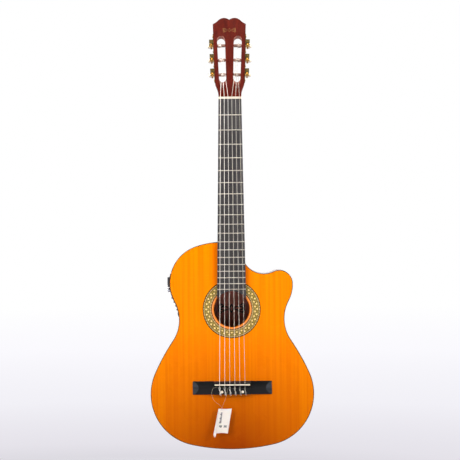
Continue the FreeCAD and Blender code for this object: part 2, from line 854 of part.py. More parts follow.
def roller_up(number_up):
    return MIDDLE_ROLLER + number_up * size("roller_pitch")


def roller_edge(number_up):
    """Distance of the headstock's edge from its centre line at a roller."""
    return SIDE_LOW[0] + (roller_up(number_up) - SIDE_LOW[1]) * math.tan(math.radians(SIDE_SLANT))


def barrel_reach(number_up):
    """From the headstock's edge inwards to just short of the slot's inner wall."""
    return roller_edge(number_up) - slot_inner_wall(roller_up(number_up)) - 0.6


def roller_bores():
    cutters = []
    for side, number_up in TUNERS.values():
        reach = barrel_reach(number_up)
        tools = [
            rod((5, 0, 0), (-reach + 6, 0, 0), size("barrel_diameter") / 2 + size("clearance")),
            rod((0, 0, 0), (-reach - 7.0, 0, 0), size("pin_diameter") / 2 + 0.1),
        ]
        cutters += [placed(tool, side_frame(side, number_up)) for tool in tools]
    return cutters


def screw_pilots():
    """Holes in the headstock's edges for the screws of the tuner plates."""
    pilots = []
    for side in (BASS, TREBLE):
        for z in plate_screw_heights():
            pilot = rod((1, 0, z), (-SCREW_DEPTH, 0, z), SCREW_RADIUS)
            pilots.append(placed(pilot, side_frame(side, 0)))
    return pilots


def string_ramps():
    """Sloping troughs that let the strings down into the slots."""
    ramps = []
    across, radius, slope = 16.8, 7.6, -17
    for side in (BASS, TREBLE):
        ramp = rod((across, -radius, 0), (across, -radius, 60), radius)
        ramp.rotate(Vector(across, 0, 40), Vector(1, 0, 0), slope)
        ramp.translate(Vector(0, 4.0, 0))
        if side == BASS:
            ramp = ramp.mirror(Vector(), Vector(1, 0, 0))
        ramp.Placement = headstock_frame() * ramp.Placement
        ramps.append(ramp)
    return ramps


def below_joint():
    return box((-60, 60), (-60, 60), (-60, size("nut_length")))


def heel_of_headstock():
    """Thins the back of the headstock down to the neck's depth at the joint."""
    wedge = Part.Face(Part.makePolygon([
        Vector(-60, size("neck_depth_nut"), size("nut_length") - 8),
        Vector(-60, size("neck_depth_nut"), size("nut_length")),
        Vector(-60, size("headstock_thickness") - 6, size("nut_length") + 26),
        Vector(-60, 60, size("nut_length") + 26),
        Vector(-60, 60, size("nut_length") - 8),
        Vector(-60, size("neck_depth_nut"), size("nut_length") - 8),
    ]))
    return wedge.extrude(Vector(120, 0, 0))


def trimmed(blank, label, tools):
    """A boolean cut of a body by worked-out tools."""
    sub_parts.remove(blank)
    blank.Label = f"{label}_blank"
    tool = doc.addObject("Part::Feature", f"{label}_tools")
    tool.Shape = joined(tools)
    cut = doc.addObject("Part::Cut", label)
    cut.Base, cut.Tool = blank, tool
    cut.Label = label
    return keep(cut)


def make_headstock():
    blank = padded("headstock_body", "XZ", headstock_outline(), "sizes.headstock_thickness",
                   backwards=True)
    for side in (BASS, TREBLE):
        add_pocket(blank, new_sketch(blank, "XZ", slot_outline(side)))
    blank.Placement = headstock_frame()
    tools = roller_bores() + screw_pilots() + string_ramps()
    tools += [below_joint(), heel_of_headstock()]
    trimmed(blank, "headstock", tools)

    veneer = padded("veneer_body", "XZ", headstock_outline(), "sizes.veneer_thickness")
    for side in (BASS, TREBLE):
        add_pocket(veneer, new_sketch(veneer, "XZ", slot_outline(side)))
    veneer.Placement = headstock_frame()
    trimmed(veneer, "headstock_veneer", string_ramps() + [below_joint()])


# ---------------------------------------------------------------- tuning machines

TAB_OUT = 10.0
TAB_GAP = 11.4  # between the two brackets of a worm
TAB_THICKNESS = 1.5
TAB_HALF = 4.2
SHAFT_RADIUS = 1.9
SCREW_RADIUS = 1.3
SCREW_DEPTH = 7.0
COLLAR = 0.2  # end float of a worm in its brackets


def make_tuner_plate(side, label):
    width = size("plate_width")
    pitch, rise = size("roller_pitch"), size("worm_height")
    low, high = -pitch - 19.2, pitch + 29.2
    end = width / 2
    plate = [
        line((-end, low + end), (-end, high - end)),
        arc((0, high - end), end, 0, math.pi),
        line((end, high - end), (end, low + end)),
        arc((0, low + end), end, math.pi, 2 * math.pi),
    ]
    body = padded(label, "YZ", plate, "sizes.plate_thickness")
    near, far = TAB_GAP / 2, TAB_GAP / 2 + TAB_THICKNESS
    for step in (-1, 0, 1):
        centre = step * pitch + rise
        for front, back in ((-far, -near), (near, far)):
            tab = rectangle(front, back, centre - TAB_HALF, centre + TAB_HALF)
            add_pad(body, new_sketch(body, "YZ", tab), "sizes.gear_offset + 4.6")
    bores = [circle((0, step * pitch), size("barrel_diameter") / 2 + 0.3) for step in (-1, 0, 1)]
    add_pocket(body, new_sketch(body, "YZ", bores))
    shafts = [
        circle((size("gear_offset"), step * pitch + rise), SHAFT_RADIUS + 0.06)
        for step in (-1, 0, 1)
    ]
    add_pocket(body, new_sketch(body, "XZ", shafts))
    screws = [circle((0, z), SCREW_RADIUS) for z in plate_screw_heights()]
    add_pocket(body, new_sketch(body, "YZ", screws))
    body.Placement = side_frame(side, 0)


def plate_screw_heights():
    """The lower end, between each pair of tuners, and the upper end."""
    pitch = size("roller_pitch")
    return (-pitch - 13.5, 20.7 - pitch, 20.7, pitch + 22.5)


def gear_face():
    """A worm wheel seen along its axis, with a tooth gap straight up."""
    teeth = int(size("gear_teeth"))
    root, tip = size("gear_root_radius"), size("gear_outer_radius")
    root_half, tip_half = 0.80, 0.26  # half the thickness of a tooth
    curves = []
    for tooth in range(teeth):
        middle = math.pi / 2 + (tooth + 0.5) * 2 * math.pi / teeth
        following = middle + 2 * math.pi / teeth
        corners = [
            (root, middle - root_half / root),
            (tip, middle - tip_half / tip),
            (tip, middle + tip_half / tip),
            (root, middle + root_half / root),
            (root, following - root_half / root),
        ]
        points = [(r * math.cos(a), r * math.sin(a)) for r, a in corners]
        curves += [line(p, q) for p, q in zip(points[:3], points[1:4])]
        valley = (corners[3][1] + corners[4][1]) / 2
        bottom = (root * math.cos(valley), root * math.sin(valley))
        curves += [arc_through(points[3], bottom, points[4])]
    wheel = face(curves)
    wheel.rotate(Vector(), Vector(1, 1, 1), 120)  # sketch x, y to Y, Z
    return wheel


WINDINGS = {  # string: where it meets the roller across the headstock, and the turns' side
    1: (20.3, -1),
    2: (16.6, 1),
    3: (18.6, 1),
    4: (18.6, 1),
    5: (16.6, 1),
    6: (20.3, -1),
}
WINDING_LENGTH = 6.6


def make_roller(number):
    """Barrel with its inner pin, worm wheel, wheel screw and the string's turns."""
    side, number_up = TUNERS[number]
    barrel = size("barrel_diameter") / 2
    reach = barrel_reach(number_up)
    offset, width = size("gear_offset"), size("gear_width")
    inner, outer = offset - width / 2, offset + width / 2
    axle = joined([
        rod((size("plate_thickness") + 0.3, 0, 0), (-reach, 0, 0), barrel),
        rod((-reach, 0, 0), (-reach - 6.0, 0, 0), size("pin_diameter") / 2),
        rod((size("plate_thickness") + 0.3, 0, 0), (outer - 0.4, 0, 0), 2.6),
    ])
    wheel = gear_face()
    wheel.translate(Vector(inner, 0, 0))
    wheel = wheel.extrude(Vector(width, 0, 0)).cut(rod((0, 0, 0), (outer - 0.4, 0, 0), 2.6))
    screw = rod((outer, 0, 0), (outer + 3.0, 0, 0), 2.7)
    screw = screw.cut(box((outer + 2.0, outer + 4), (-4, 4), (-0.4, 0.4)))
    meets, outwards = WINDINGS[number]
    gap = STRING_DIAMETERS[number] / 2 + size("clearance")
    start = meets + outwards * gap
    turns = sorted((start, start + outwards * WINDING_LENGTH))
    low, high = (w - roller_edge(number_up) for w in turns)
    sleeve = rod((low, 0, 0), (high, 0, 0), barrel + STRING_DIAMETERS[number])
    sleeve = sleeve.cut(rod((low - 1, 0, 0), (high + 1, 0, 0), barrel))
    pieces = Part.makeCompound([axle, wheel, screw, sleeve])
    shaped(f"roller_{number}", pieces, side_frame(side, number_up))


def worm_frame(side, number_up):
    """The worm's frame on either side: Y along its axis to the back, Z up."""
    turn = Rotation(Vector(0, 0, 1), 0 if side == TREBLE else 180)
    up = Placement(Vector(size("gear_offset"), 0, size("worm_height")), turn.inverted())
    return side_frame(side, number_up) * up


def worm_thread():
    """A right-hand thread along Z whose ridge stands at z = 0 on the -X side."""
    pitch, core, outer = size("worm_pitch"), size("worm_core_radius"), size("worm_radius")
    length = TAB_GAP - 2 * COLLAR
    turns = 3
    helix = Part.makeHelix(pitch, turns * pitch, core)
    buried = core - 0.4
    section = Part.makePolygon([
        Vector(buried, 0, -0.62),
        Vector(outer, 0, -0.26),
        Vector(outer, 0, 0.26),
        Vector(buried, 0, 0.62),
        Vector(buried, 0, -0.62),
    ])
    thread = Part.Wire(helix).makePipeShell([section], True, True)
    thread.translate(Vector(0, 0, -turns * pitch / 2))
    cylinder = Part.makeCylinder(core, length, Vector(0, 0, -length / 2))
    return joined([cylinder, thread])


def make_worm(number):
    side, number_up = TUNERS[number]
    half = TAB_GAP / 2 - COLLAR
    rear = TAB_GAP / 2 + TAB_THICKNESS
    thread = worm_thread()
    thread.rotate(Vector(), Vector(1, 0, 0), -90)
    thread.rotate(Vector(), Vector(0, 1, 0), -90)
    worm = joined([
        thread,
        rod((0, half - 0.5, 0), (0, rear + 10.0, 0), SHAFT_RADIUS),
        rod((0, -half + 0.5, 0), (0, -rear - 0.5, 0), SHAFT_RADIUS),
        rod((0, rear + 0.3, 0), (0, rear + 1.5, 0), 3.0),
        rod((0, rear + 6.2, 0), (0, rear + 8.2, 0), 3.0),
    ])
    shaped(f"worm_{number}", worm, worm_frame(side, number_up))


def make_button(number):
    """A pearl paddle: a round end drawn in to a narrow neck, with rounded faces."""
    side, number_up = TUNERS[number]
    radius = size("button_width") / 2
    start = TAB_GAP / 2 + TAB_THICKNESS + 8.2
    centre = (0, start + size("button_length") - radius)
    neck = 4.2
    bearing = math.atan2(start - centre[1], neck)
    touch = bearing + math.acos(radius / math.hypot(neck, centre[1] - start))
    side_x, side_y = radius * math.cos(touch), centre[1] + radius * math.sin(touch)
    curves = [
        line((-neck, start), (neck, start)),
        line((neck, start), (side_x, side_y)),
        arc(centre, radius, touch, math.pi - touch),
        line((-side_x, side_y), (-neck, start)),
    ]
    body = padded(f"button_{number}", "XY", curves, "sizes.button_thickness", midplane=True)
    face_height = size("button_thickness") / 2
    rim = edges_where(
        body,
        lambda e: abs(abs(e.CenterOfMass.z) - face_height) < 0.01 and e.CenterOfMass.y > start + 1,
    )
    add_edge_feature(body, "Fillet", rim, "sizes.button_thickness * 0.4")
    shaft = new_sketch(body, "XZ", [circle((0, 0), SHAFT_RADIUS)], -start)
    add_pocket(body, shaft, "sizes.clearance + 1.5")
    body.Placement = worm_frame(side, number_up)


def make_screws():
    """The screws of the tuner plates, each with a slotted head."""
    screws = []
    for side in (BASS, TREBLE):
        for z in plate_screw_heights():
            start = size("plate_thickness")
            screw = joined([
                rod((start + 0.9, 0, z), (start, 0, z), 2.4),
                rod((start, 0, z), (-SCREW_DEPTH, 0, z), SCREW_RADIUS),
            ])
            screw = screw.cut(box((start + 0.5, start + 2), (-3, 3), (z - 0.25, z + 0.25)))
            screw.Placement = side_frame(side, 0)
            screws.append(screw)
    return screws


# ---------------------------------------------------------------- strings


def string_route(number):
    """Tie block, saddle, nut and roller, as the string's centre line."""
    radius = STRING_DIAMETERS[number] / 2
    side, number_up = TUNERS[number]
    x = saddle_x(number)
    over = -size("tie_block_height") - radius - 0.25
    front = TROUGH[1] + radius + 0.5
    back = bridge_back_z() - radius - 0.35
    crown = -size("saddle_height") - radius
    loop = [
        (x + 1.9, -6.2, front),
        (x + 1.6, over, front),
        (x + 0.5, over, back),
        (x, TIE_HOLE_Y, back),
        (x, TIE_HOLE_Y, TROUGH[1] + 0.9),
        (x, crown, saddle_z() - 0.5),
        (x, crown, saddle_z() + 0.3),
        (nut_x(number), -size("nut_string_height") - radius, 0.4),
        (nut_x(number), -size("nut_string_height") - radius - 0.12, size("nut_length") + 0.6),
    ]
    meets, _ = WINDINGS[number]
    start = Vector(*loop[-1])
    frame = headstock_frame()
    local = frame.inverse().multVec(start)
    round_it = size("barrel_diameter") / 2 + radius + size("clearance")
    across, away = ROLLER_DEPTH - local.y, roller_up(number_up) - local.z
    apart = math.hypot(across, away)
    bearing = math.atan2(across, away) - math.asin(round_it / apart)
    reach = math.sqrt(apart**2 - round_it**2)
    touch = Vector(side * meets, local.y + reach * math.sin(bearing),
                   local.z + reach * math.cos(bearing))
    end = frame.multVec(touch)
    return [Vector(*p) for p in loop] + [end]


def make_strings():
    for label, numbers in (("treble_strings", (1, 2, 3)), ("bass_strings", (4, 5, 6))):
        strings = [
            tube(string_route(n), STRING_DIAMETERS[n] / 2, f"string {n}") for n in numbers
        ]
        shaped(label, Part.makeCompound(strings))


# ---------------------------------------------------------------- preamp

PANEL_SPAN_X = (-170.0, -90.0)  # from outside the panel to inside the rib
PANEL_WINDOW_Y = (size("panel_front_y") + 2.5, size("panel_back_y") - 2.5)
PANEL_WINDOW_Z = (size("panel_bottom_z") + 2.5, size("panel_top_z") - 2.5)
PANEL_MIDDLE = (size("panel_front_y") + size("panel_back_y")) / 2
KNOB_Z = -434.5
SLIDERS = {"bass": -453.0, "middle": -462.4, "treble": -471.4, "presence": -480.2}
DISPLAY_Z = -490.4
TUNER_BUTTON_Y = 60.0
DOOR_Z = (-405.4, -423.6)
HINGE_Z = -425.9
DOOR_HALF = 18.0
BATTERY_X = -136.6  # its outer end
CASE_X = -86.0  # the case's inner wall


def on_panel(z, lift=0.0, y=None):
    """A frame on the panel's face: Z outwards, X along world Y, Y up the panel."""
    for centre, radius, first, last, hollow in bass_arcs[3:5]:
        grown = radius + size("panel_proud") * (-1 if hollow else 1)
        rise = (z - centre[1]) / grown
        if abs(rise) > 1:
            continue
        sign = 1 if hollow else -1
        x = centre[0] + sign * grown * math.sqrt(1 - rise**2)
        angle = math.atan2(z - centre[1], x - centre[0])
        low, high = sorted((first, last))
        if any(low - 1e-6 <= angle + k * 2 * math.pi <= high + 1e-6 for k in (-1, 0, 1)):
            out = Vector(math.cos(angle), 0, math.sin(angle)) * (-1 if hollow else 1)
            break
    along = Vector(0, 1, 0)
    turn = Rotation(along, out.cross(along), out, "ZXY")
    place = Vector(x, PANEL_MIDDLE if y is None else y, z) + out * lift
    return Placement(place, turn)


def make_preamp_panel():
    """The curved plate on the rib, with the lugs and pin of the battery door."""
    proud = size("panel_proud")
    window = box(PANEL_SPAN_X, (size("panel_front_y"), size("panel_back_y")),
                 (size("panel_bottom_z"), size("panel_top_z")))
    plate = hoop(-proud, 0, 10, 80).common(window)
    sill = box(PANEL_SPAN_X, PANEL_WINDOW_Y, PANEL_WINDOW_Z)
    plate = joined([plate, hoop(0, size("rib_thickness"), 10, 80).common(sill)])
    battery_mouth = box(PANEL_SPAN_X, (PANEL_MIDDLE - 14, PANEL_MIDDLE + 14), (-405.7, -423.9))
    plate = plate.cut(battery_mouth)
    hinge_x = hinge_axis_x()
    lugs = []
    for side in (-1, 1):
        start = PANEL_MIDDLE + side * (DOOR_HALF - 3.4)
        end = PANEL_MIDDLE + side * DOOR_HALF
        lug = joined([
            rod((hinge_x, start, HINGE_Z), (hinge_x, end, HINGE_Z), 1.8),
            box((hinge_x, -141.2), (start, end), (HINGE_Z - 1.8, HINGE_Z + 1.8)),
        ])
        lugs.append(lug)
    reach = DOOR_HALF - 3.0
    ends = [(hinge_x, PANEL_MIDDLE + y, HINGE_Z) for y in (-reach, reach)]
    pin = rod(*ends, 0.8)
    plate = joined([plate, *lugs, pin])
    cuts = [placed(rod((0, 0, -12), (0, 0, 12), 1.8), on_panel(KNOB_Z))]
    travel_half = size("slider_travel") / 2 + 1.6
    for z in SLIDERS.values():
        groove = box((-travel_half, travel_half), (-0.8, 0.8), (-12, 6))
        cuts.append(placed(groove, on_panel(z)))
    shaft = rod((0, 0, -12), (0, 0, 12), 2.3)
    cuts.append(placed(shaft, on_panel(DISPLAY_Z, y=TUNER_BUTTON_Y)))
    shaped("preamp_panel", plate.cut(cuts))


def hinge_axis_x():
    return on_panel(HINGE_Z).Base.x - 2.2


def make_battery_door():
    """Hinged at its lower edge on the panel's pin."""
    inner = on_panel(-418.3).Base.x - 0.4
    outer = inner - size("door_thickness")
    front, back = PANEL_MIDDLE - DOOR_HALF, PANEL_MIDDLE + DOOR_HALF
    x = hinge_axis_x()
    knuckle_half = DOOR_HALF - 3.8
    knuckle = (PANEL_MIDDLE - knuckle_half, PANEL_MIDDLE + knuckle_half)
    lid = box((outer, inner), (front, back), DOOR_Z)
    tall = [e for e in lid.Edges if abs(e.CenterOfMass.x - outer) < 0.01]
    lid = lid.makeFillet(1.0, tall)
    tongue = box((x - 1.0, x + 1.0), knuckle, (HINGE_Z, DOOR_Z[1] + 2.0))
    barrel = rod((x, knuckle[0], HINGE_Z), (x, knuckle[1], HINGE_Z), 1.7)
    bore = rod((x, front - 1, HINGE_Z), (x, back + 1, HINGE_Z), 0.87)
    shaped("battery_door", joined([lid, tongue, barrel]).cut(bore))


def make_preamp_controls():
    gap = size("clearance")
    knob = padded("preamp_knob", "XY", [circle((0, 0), size("knob_diameter") / 2)],
                  "sizes.knob_height", gap)
    bind_radius(knob.Group[0], 0, "sizes.knob_diameter / 2")
    stem = new_sketch(knob, "XY", [circle((0, 0), 1.5)], gap + 0.5)
    add_pad(knob, stem, "sizes.knob_height + 3", backwards=True)
    rim = edges_where(knob, lambda e: e.CenterOfMass.z > gap + size("knob_height") - 0.01)
    add_edge_feature(knob, "Fillet", rim, "sizes.knob_height * 0.2")
    knob.Placement = on_panel(KNOB_Z)

    for name, z in SLIDERS.items():
        cap = padded(f"slider_{name}", "XY", rectangle(-2.2, 2.2, -1.7, 1.7),
                     "sizes.slider_height", gap)
        stem = new_sketch(cap, "XY", rectangle(-1.2, 1.2, -0.5, 0.5), gap + 0.3)
        add_pad(cap, stem, "sizes.slider_height + 3.5", backwards=True)
        cap.Placement = on_panel(z)

    button = padded("tuner_button", "XY", [circle((0, 0), 2.0)], "sizes.slider_height + 2.5", -2.5)
    bind_radius(button.Group[0], 0, "sizes.slider_height - 0.2")
    button.Placement = on_panel(DISPLAY_Z, y=TUNER_BUTTON_Y)

    glass = padded("preamp_display", "XY", rectangle(-12.5, 12.5, -3.8, 3.8),
                   "sizes.display_thickness", 0.15)
    glass.Placement = on_panel(DISPLAY_Z, y=PANEL_MIDDLE - 5.0)


def make_preamp_case():
    """A box behind the panel: the battery's bay above, the electronics below."""
    outside, wall = PANEL_SPAN_X[0], 1.5
    reach = box((outside, CASE_X), (PANEL_WINDOW_Y[0] + 0.5, PANEL_WINDOW_Y[1] - 0.5),
                (PANEL_WINDOW_Z[0] + 0.5, PANEL_WINDOW_Z[1] - 0.5))
    outer = prism(size("rib_thickness"), 10, 80).common(reach)
    bay = box((outside, CASE_X - wall), (PANEL_MIDDLE - 13.7, PANEL_MIDDLE + 13.7),
              (-405.2, -424.2))
    room = box((outside, CASE_X - 10.0), (PANEL_WINDOW_Y[0] + 2, PANEL_WINDOW_Y[1] - 2),
               (-426.2, PANEL_WINDOW_Z[0] + 2))
    shaped("preamp_case", outer.cut(bay).cut(room))

    side = rectangle(BATTERY_X, BATTERY_X + size("battery_length"), -405.8, -423.4)
    front = PANEL_MIDDLE - size("battery_width") / 2
    padded("battery", "XZ", side, "sizes.battery_width", -front, backwards=True)


def make_jack():
    """The output socket: a flange under the tail, a barrel through the block and its nut."""
    low = tail[1]
    bore, barrel, flange = size("jack_radius"), JACK_BARREL - 0.1, 14.0
    top = low + 34.0
    profile = polygon([
        (bore, low - 2.4),
        (flange - 1.0, low - 2.4),
        (flange, low - 1.4),
        (flange, low),
        (barrel, low),
        (barrel, top),
        (0, top),
        (0, low - 2.4 + size("jack_depth")),
        (bore, low - 2.4 + size("jack_depth")),
    ])
    body = new_body("jack_socket")
    sketch = new_sketch(body, "XZ", profile)
    turned = body.newObject("PartDesign::Revolution", "jack_revolution")
    turned.Profile = sketch
    turned.ReferenceAxis = (sketch, ["V_Axis"])
    turned.Angle = 360
    body.Placement = Placement(Vector(0, size("jack_y"), 0), Rotation())


# ---------------------------------------------------------------- leads and tag


def make_leads():
    """The jack's lead along the bass ribs, and the pickup strip under the saddle."""
    jack_lead = [
        (-85.8, 48, -470),
        (-76, 49, -476),
        (-74, 52, -500),
        (-84, 58, -535),
        (-106, 64, -575),
        (-128, 66, -620),
        (-134, 66, -668),
        (-122, 64, -715),
        (-92, 60, -750),
        (-54, 56, -768),
        (-22, 52, -770),
        (-6, 50.5, -765),
    ]
    shaped("jack_lead", tube(jack_lead, 1.5, "jack lead"))

    z = saddle_z()
    half = size("saddle_length") / 2 - 0.4
    strip = box((-half, half), (SADDLE_FLOOR - PIEZO, SADDLE_FLOOR),
                (z - size("saddle_width") / 2 + 0.2, z + size("saddle_width") / 2 - 0.2))
    shaped("piezo_pickup", strip)


TAG_HOLE = (-23.6, -4.2, -706.4)


def make_tag():
    """A curled card on a loop of thread that goes round the two lowest strings."""
    loop = [
        (-23.9, -7.9, -707.2),
        (-24.8, -8.2, -701.0),
        (-28.4, -6.6, -696.0),
        (-34.0, -4.6, -692.6),
        (-40.6, -4.0, -687.4),
        (-45.6, -4.8, -679.0),
        (-47.6, -6.0, -670.0),
        (-46.2, -7.2, -661.4),
        (-42.6, -6.6, -656.4),
        (-37.6, -5.8, -655.4),
        (-31.0, -5.4, -655.3),
        (-24.0, -5.4, -655.3),
        (-18.0, -5.6, -655.3),
        (-14.0, -6.8, -655.4),
        (-12.0, -9.5, -656.3),
        (-11.4, -11.0, -660.2),
        (-12.0, -10.9, -666.6),
        (-13.4, -10.2, -673.8),
        (-15.6, -7.6, -681.0),
        (-18.6, -5.6, -688.4),
        (-21.4, -5.2, -695.4),
        (-23.0, -5.5, -701.4),
        (-23.5, -6.1, -707.2),
    ]
    shaped("tag_loop", tube(loop, size("thread_diameter") / 2, "tag loop"))

    thick = size("tag_thickness")
    curl = 42.0
    half = 15.6
    rise = curl - math.sqrt(curl**2 - half**2)
    top, bottom = 0.0, -62.0
    card = face([
        arc_through((-half, -rise), (0, 0), (half, -rise)),
        line((half, -rise), (half, -rise + thick)),
        arc_through((half, -rise + thick), (0, thick), (-half, -rise + thick)),
        line((-half, -rise + thick), (-half, -rise)),
    ])
    card = card.extrude(Vector(0, 0, bottom - top))
    card.translate(Vector(7.6, -2.3, 4.0))
    hole = rod((0, -20, 0), (0, 20, 0), 2.2)
    card = card.cut(hole)
    lean = Rotation(Vector(0, 1, 0), 9.0)
    shaped("hang_tag", card, Placement(Vector(*TAG_HOLE), lean))


# ---------------------------------------------------------------- build

make_soundboard()
make_rosette()
make_shell()
make_blocks()
make_bracing()
make_back_braces()
make_bridge()
make_saddle()
make_bridge_fittings()
make_neck()
make_fingerboard()
make_frets()
make_nut()
make_headstock()
make_tuner_plate(BASS, "tuner_plate_bass")
make_tuner_plate(TREBLE, "tuner_plate_treble")
for string_number in STRING_DIAMETERS:
    make_roller(string_number)
    make_worm(string_number)
    make_button(string_number)
shaped("wood_screws", Part.makeCompound(make_screws()))
make_strings()
make_preamp_panel()
make_battery_door()
make_preamp_controls()
make_preamp_case()
make_jack()
make_leads()
make_tag()

doc.recompute()
for thing in doc.Objects:
    if {"Invalid", "Error"} & set(thing.State):
        raise ValueError(f"{thing.Label} failed: {thing.State}")
for thing in sub_parts:
    if thing.Shape.isNull() or not thing.Shape.isValid():
        raise ValueError(f"{thing.Label} has no valid shape")

os.makedirs("parts", exist_ok=True)
for thing in sub_parts:
    thing.Shape.exportStep(f"parts/{thing.Label}.step")
print(len(sub_parts), "sub-parts")
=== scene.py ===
"""The looks of the guitar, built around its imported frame.

The frame's axes hold: X to the treble side, Y to the back, Z up the neck. Lengths below are in
millimetres where a name or a comment says so, and in metres everywhere else.
"""

import json
import math

import bmesh
import bpy
from mathutils import Matrix, Vector
from mathutils.bvhtree import BVHTree


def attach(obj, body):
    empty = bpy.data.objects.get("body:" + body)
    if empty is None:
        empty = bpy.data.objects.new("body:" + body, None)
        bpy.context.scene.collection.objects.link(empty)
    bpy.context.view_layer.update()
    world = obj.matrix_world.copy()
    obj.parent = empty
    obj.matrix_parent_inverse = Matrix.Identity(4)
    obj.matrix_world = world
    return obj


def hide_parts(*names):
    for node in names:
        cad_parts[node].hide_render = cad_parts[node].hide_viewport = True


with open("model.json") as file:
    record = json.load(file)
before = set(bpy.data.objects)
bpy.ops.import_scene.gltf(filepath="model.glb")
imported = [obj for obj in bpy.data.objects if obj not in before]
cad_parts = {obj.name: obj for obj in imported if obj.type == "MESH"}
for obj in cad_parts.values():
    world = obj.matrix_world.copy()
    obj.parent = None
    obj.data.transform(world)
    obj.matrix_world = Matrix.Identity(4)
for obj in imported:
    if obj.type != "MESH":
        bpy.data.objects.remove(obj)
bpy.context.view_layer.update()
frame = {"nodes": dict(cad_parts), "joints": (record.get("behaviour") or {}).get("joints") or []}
NODES = frame["nodes"]
JOINTS = {joint["name"]: joint for joint in frame["joints"]}
MM = 0.001
STRINGS = range(1, 7)


# ---------------------------------------------------------------- materials


class Paint:
    """A material: its Principled shader, and short ways to put nodes in front of it."""

    def __init__(self, name, values):
        self.material = bpy.data.materials.new(name)
        self.material.use_nodes = True
        self.tree = self.material.node_tree
        self.shader = self.tree.nodes["Principled BSDF"]
        for key, value in values.items():
            self.put(key, value)
        self.place = self.node("TexCoord", output="Object")
        self.normal = None

    def put(self, socket, value):
        """Fills one of the Principled shader's sockets."""
        self.fill(self.shader.inputs[socket], value)

    def fill(self, socket, value):
        """Links another node's output to a socket, or sets a plain value."""
        if isinstance(value, bpy.types.NodeSocket):
            self.tree.links.new(value, socket)
        elif socket.type == "RGBA":
            socket.default_value = (*value[:3], 1)
        else:
            socket.default_value = value

    def node(self, kind, inputs=(), output=0, **settings):
        """A new node with its inputs filled; gives back one of its outputs."""
        made = self.tree.nodes.new("ShaderNode" + kind)
        for key, value in settings.items():
            setattr(made, key, value)
        for key, value in dict(inputs).items():
            self.fill(made.inputs[key], value)
        return made.outputs[output]

    def math(self, operation, first, second=0.0):
        return self.node("Math", {0: first, 1: second}, operation=operation)

    def stretched(self, by, vector=None):
        """Texture places multiplied axis by axis."""
        vector = vector or self.place
        return self.node("VectorMath", {0: vector, 1: by}, operation="MULTIPLY")

    def noise(self, vector, scale, detail=2.0, roughness=0.5):
        inputs = {"Vector": vector, "Scale": scale, "Detail": detail, "Roughness": roughness}
        return self.node("TexNoise", inputs)

    def level(self, value, low, high, bottom=0.0, top=1.0):
        """value's span from low to high, spread from bottom to top and held there."""
        return self.node("MapRange", {0: value, 1: low, 2: high, 3: bottom, 4: top})

    def mix(self, factor, first, second):
        inputs = {0: factor, 6: first, 7: second}
        return self.node("Mix", inputs, output=2, data_type="RGBA")

    def ramp(self, factor, stops):
        """Colours between (position, colour) stops."""
        made = self.tree.nodes.new("ShaderNodeValToRGB")
        self.tree.links.new(factor, made.inputs[0])
        elements = made.color_ramp.elements
        elements[0].position, elements[1].position = stops[0][0], stops[-1][0]
        elements[0].color, elements[1].color = (*stops[0][1], 1), (*stops[-1][1], 1)
        for position, colour in stops[1:-1]:
            elements.new(position).color = (*colour, 1)
        return made.outputs[0]

    def bump(self, height, strength, distance):
        """Relief on top of the relief set before."""
        inputs = {"Strength": strength, "Distance": distance, "Height": height}
        if self.normal:
            inputs["Normal"] = self.normal
        self.normal = self.node("Bump", inputs)
        self.put("Normal", self.normal)

    def vary_roughness(self, scale, low, high):
        """Patches of slightly duller and glossier finish, as handling leaves."""
        patches = self.noise(self.place, scale, 3.0)
        self.put("Roughness", self.level(patches, 0.35, 0.65, low, high))


LINE_TONE, PORE_TONE = 0.62, 0.3  # shares of a wood's darker colour
WOOD_RELIEF = 0.0002  # metres


def wood(name, dark, light, stretch, bands, fine, rough, coat=0.0, pores=0.0, relief=0.1):
    """Wood with its grain along the axis that stretch shrinks, under lacquer if coat is set.

    bands and fine are the scales of its broad bands and fine lines, pores and relief their strength.
    """
    paint = Paint(name, {"Coat Weight": coat, "Coat Roughness": 0.12, "Coat IOR": 1.5,
                         "Specular IOR Level": 0.12 if coat else 0.3})
    grain = paint.stretched(stretch)
    broad = paint.noise(grain, bands, 3.0)
    lines = paint.noise(grain, fine, 2.0, 0.6)
    colour = paint.ramp(broad, [(0.32, dark), (0.68, light)])
    line_colour = [c * LINE_TONE for c in dark]
    colour = paint.mix(paint.level(lines, 0.5, 0.72, 0.0, 0.55), colour, line_colour)
    if pores:
        longer = paint.stretched([s * (0.35 if s < 0.5 else 1.0) for s in stretch])
        specks = paint.noise(longer, fine * 2.4, 1.0)
        pore = paint.level(specks, 0.6, 0.68, 0.0, pores)
        colour = paint.mix(pore, colour, [c * PORE_TONE for c in dark])
        paint.bump(specks, relief, WOOD_RELIEF)
    paint.put("Base Color", colour)
    paint.bump(lines, relief, WOOD_RELIEF)
    paint.vary_roughness(28.0, rough - 0.05, rough + 0.08)
    return paint


AMBER, PALE_AMBER = (0.92, 0.205, 0.0), (1.0, 0.265, 0.0)
BAND_AMBER, RING_AMBER, SILK_AMBER = (0.80, 0.15, 0.0), (0.70, 0.125, 0.0), (1.0, 0.34, 0.002)
# Painted shade low on the lower bout, and a painted shadow of the fingerboard beside it.
PAINTED_BOTTOM_SHADE, PAINTED_NECK_SHADOW = (0.33, 0.042, 0.0), (0.50, 0.07, 0.0)
BOTTOM_FROM, BOTTOM_TO = -0.52, -0.80  # Z between which the painted shade of the lower bout grows
NECK_FROM, NECK_TO = -0.46, -0.40  # Z between which the painted shadow beside the fingerboard grows
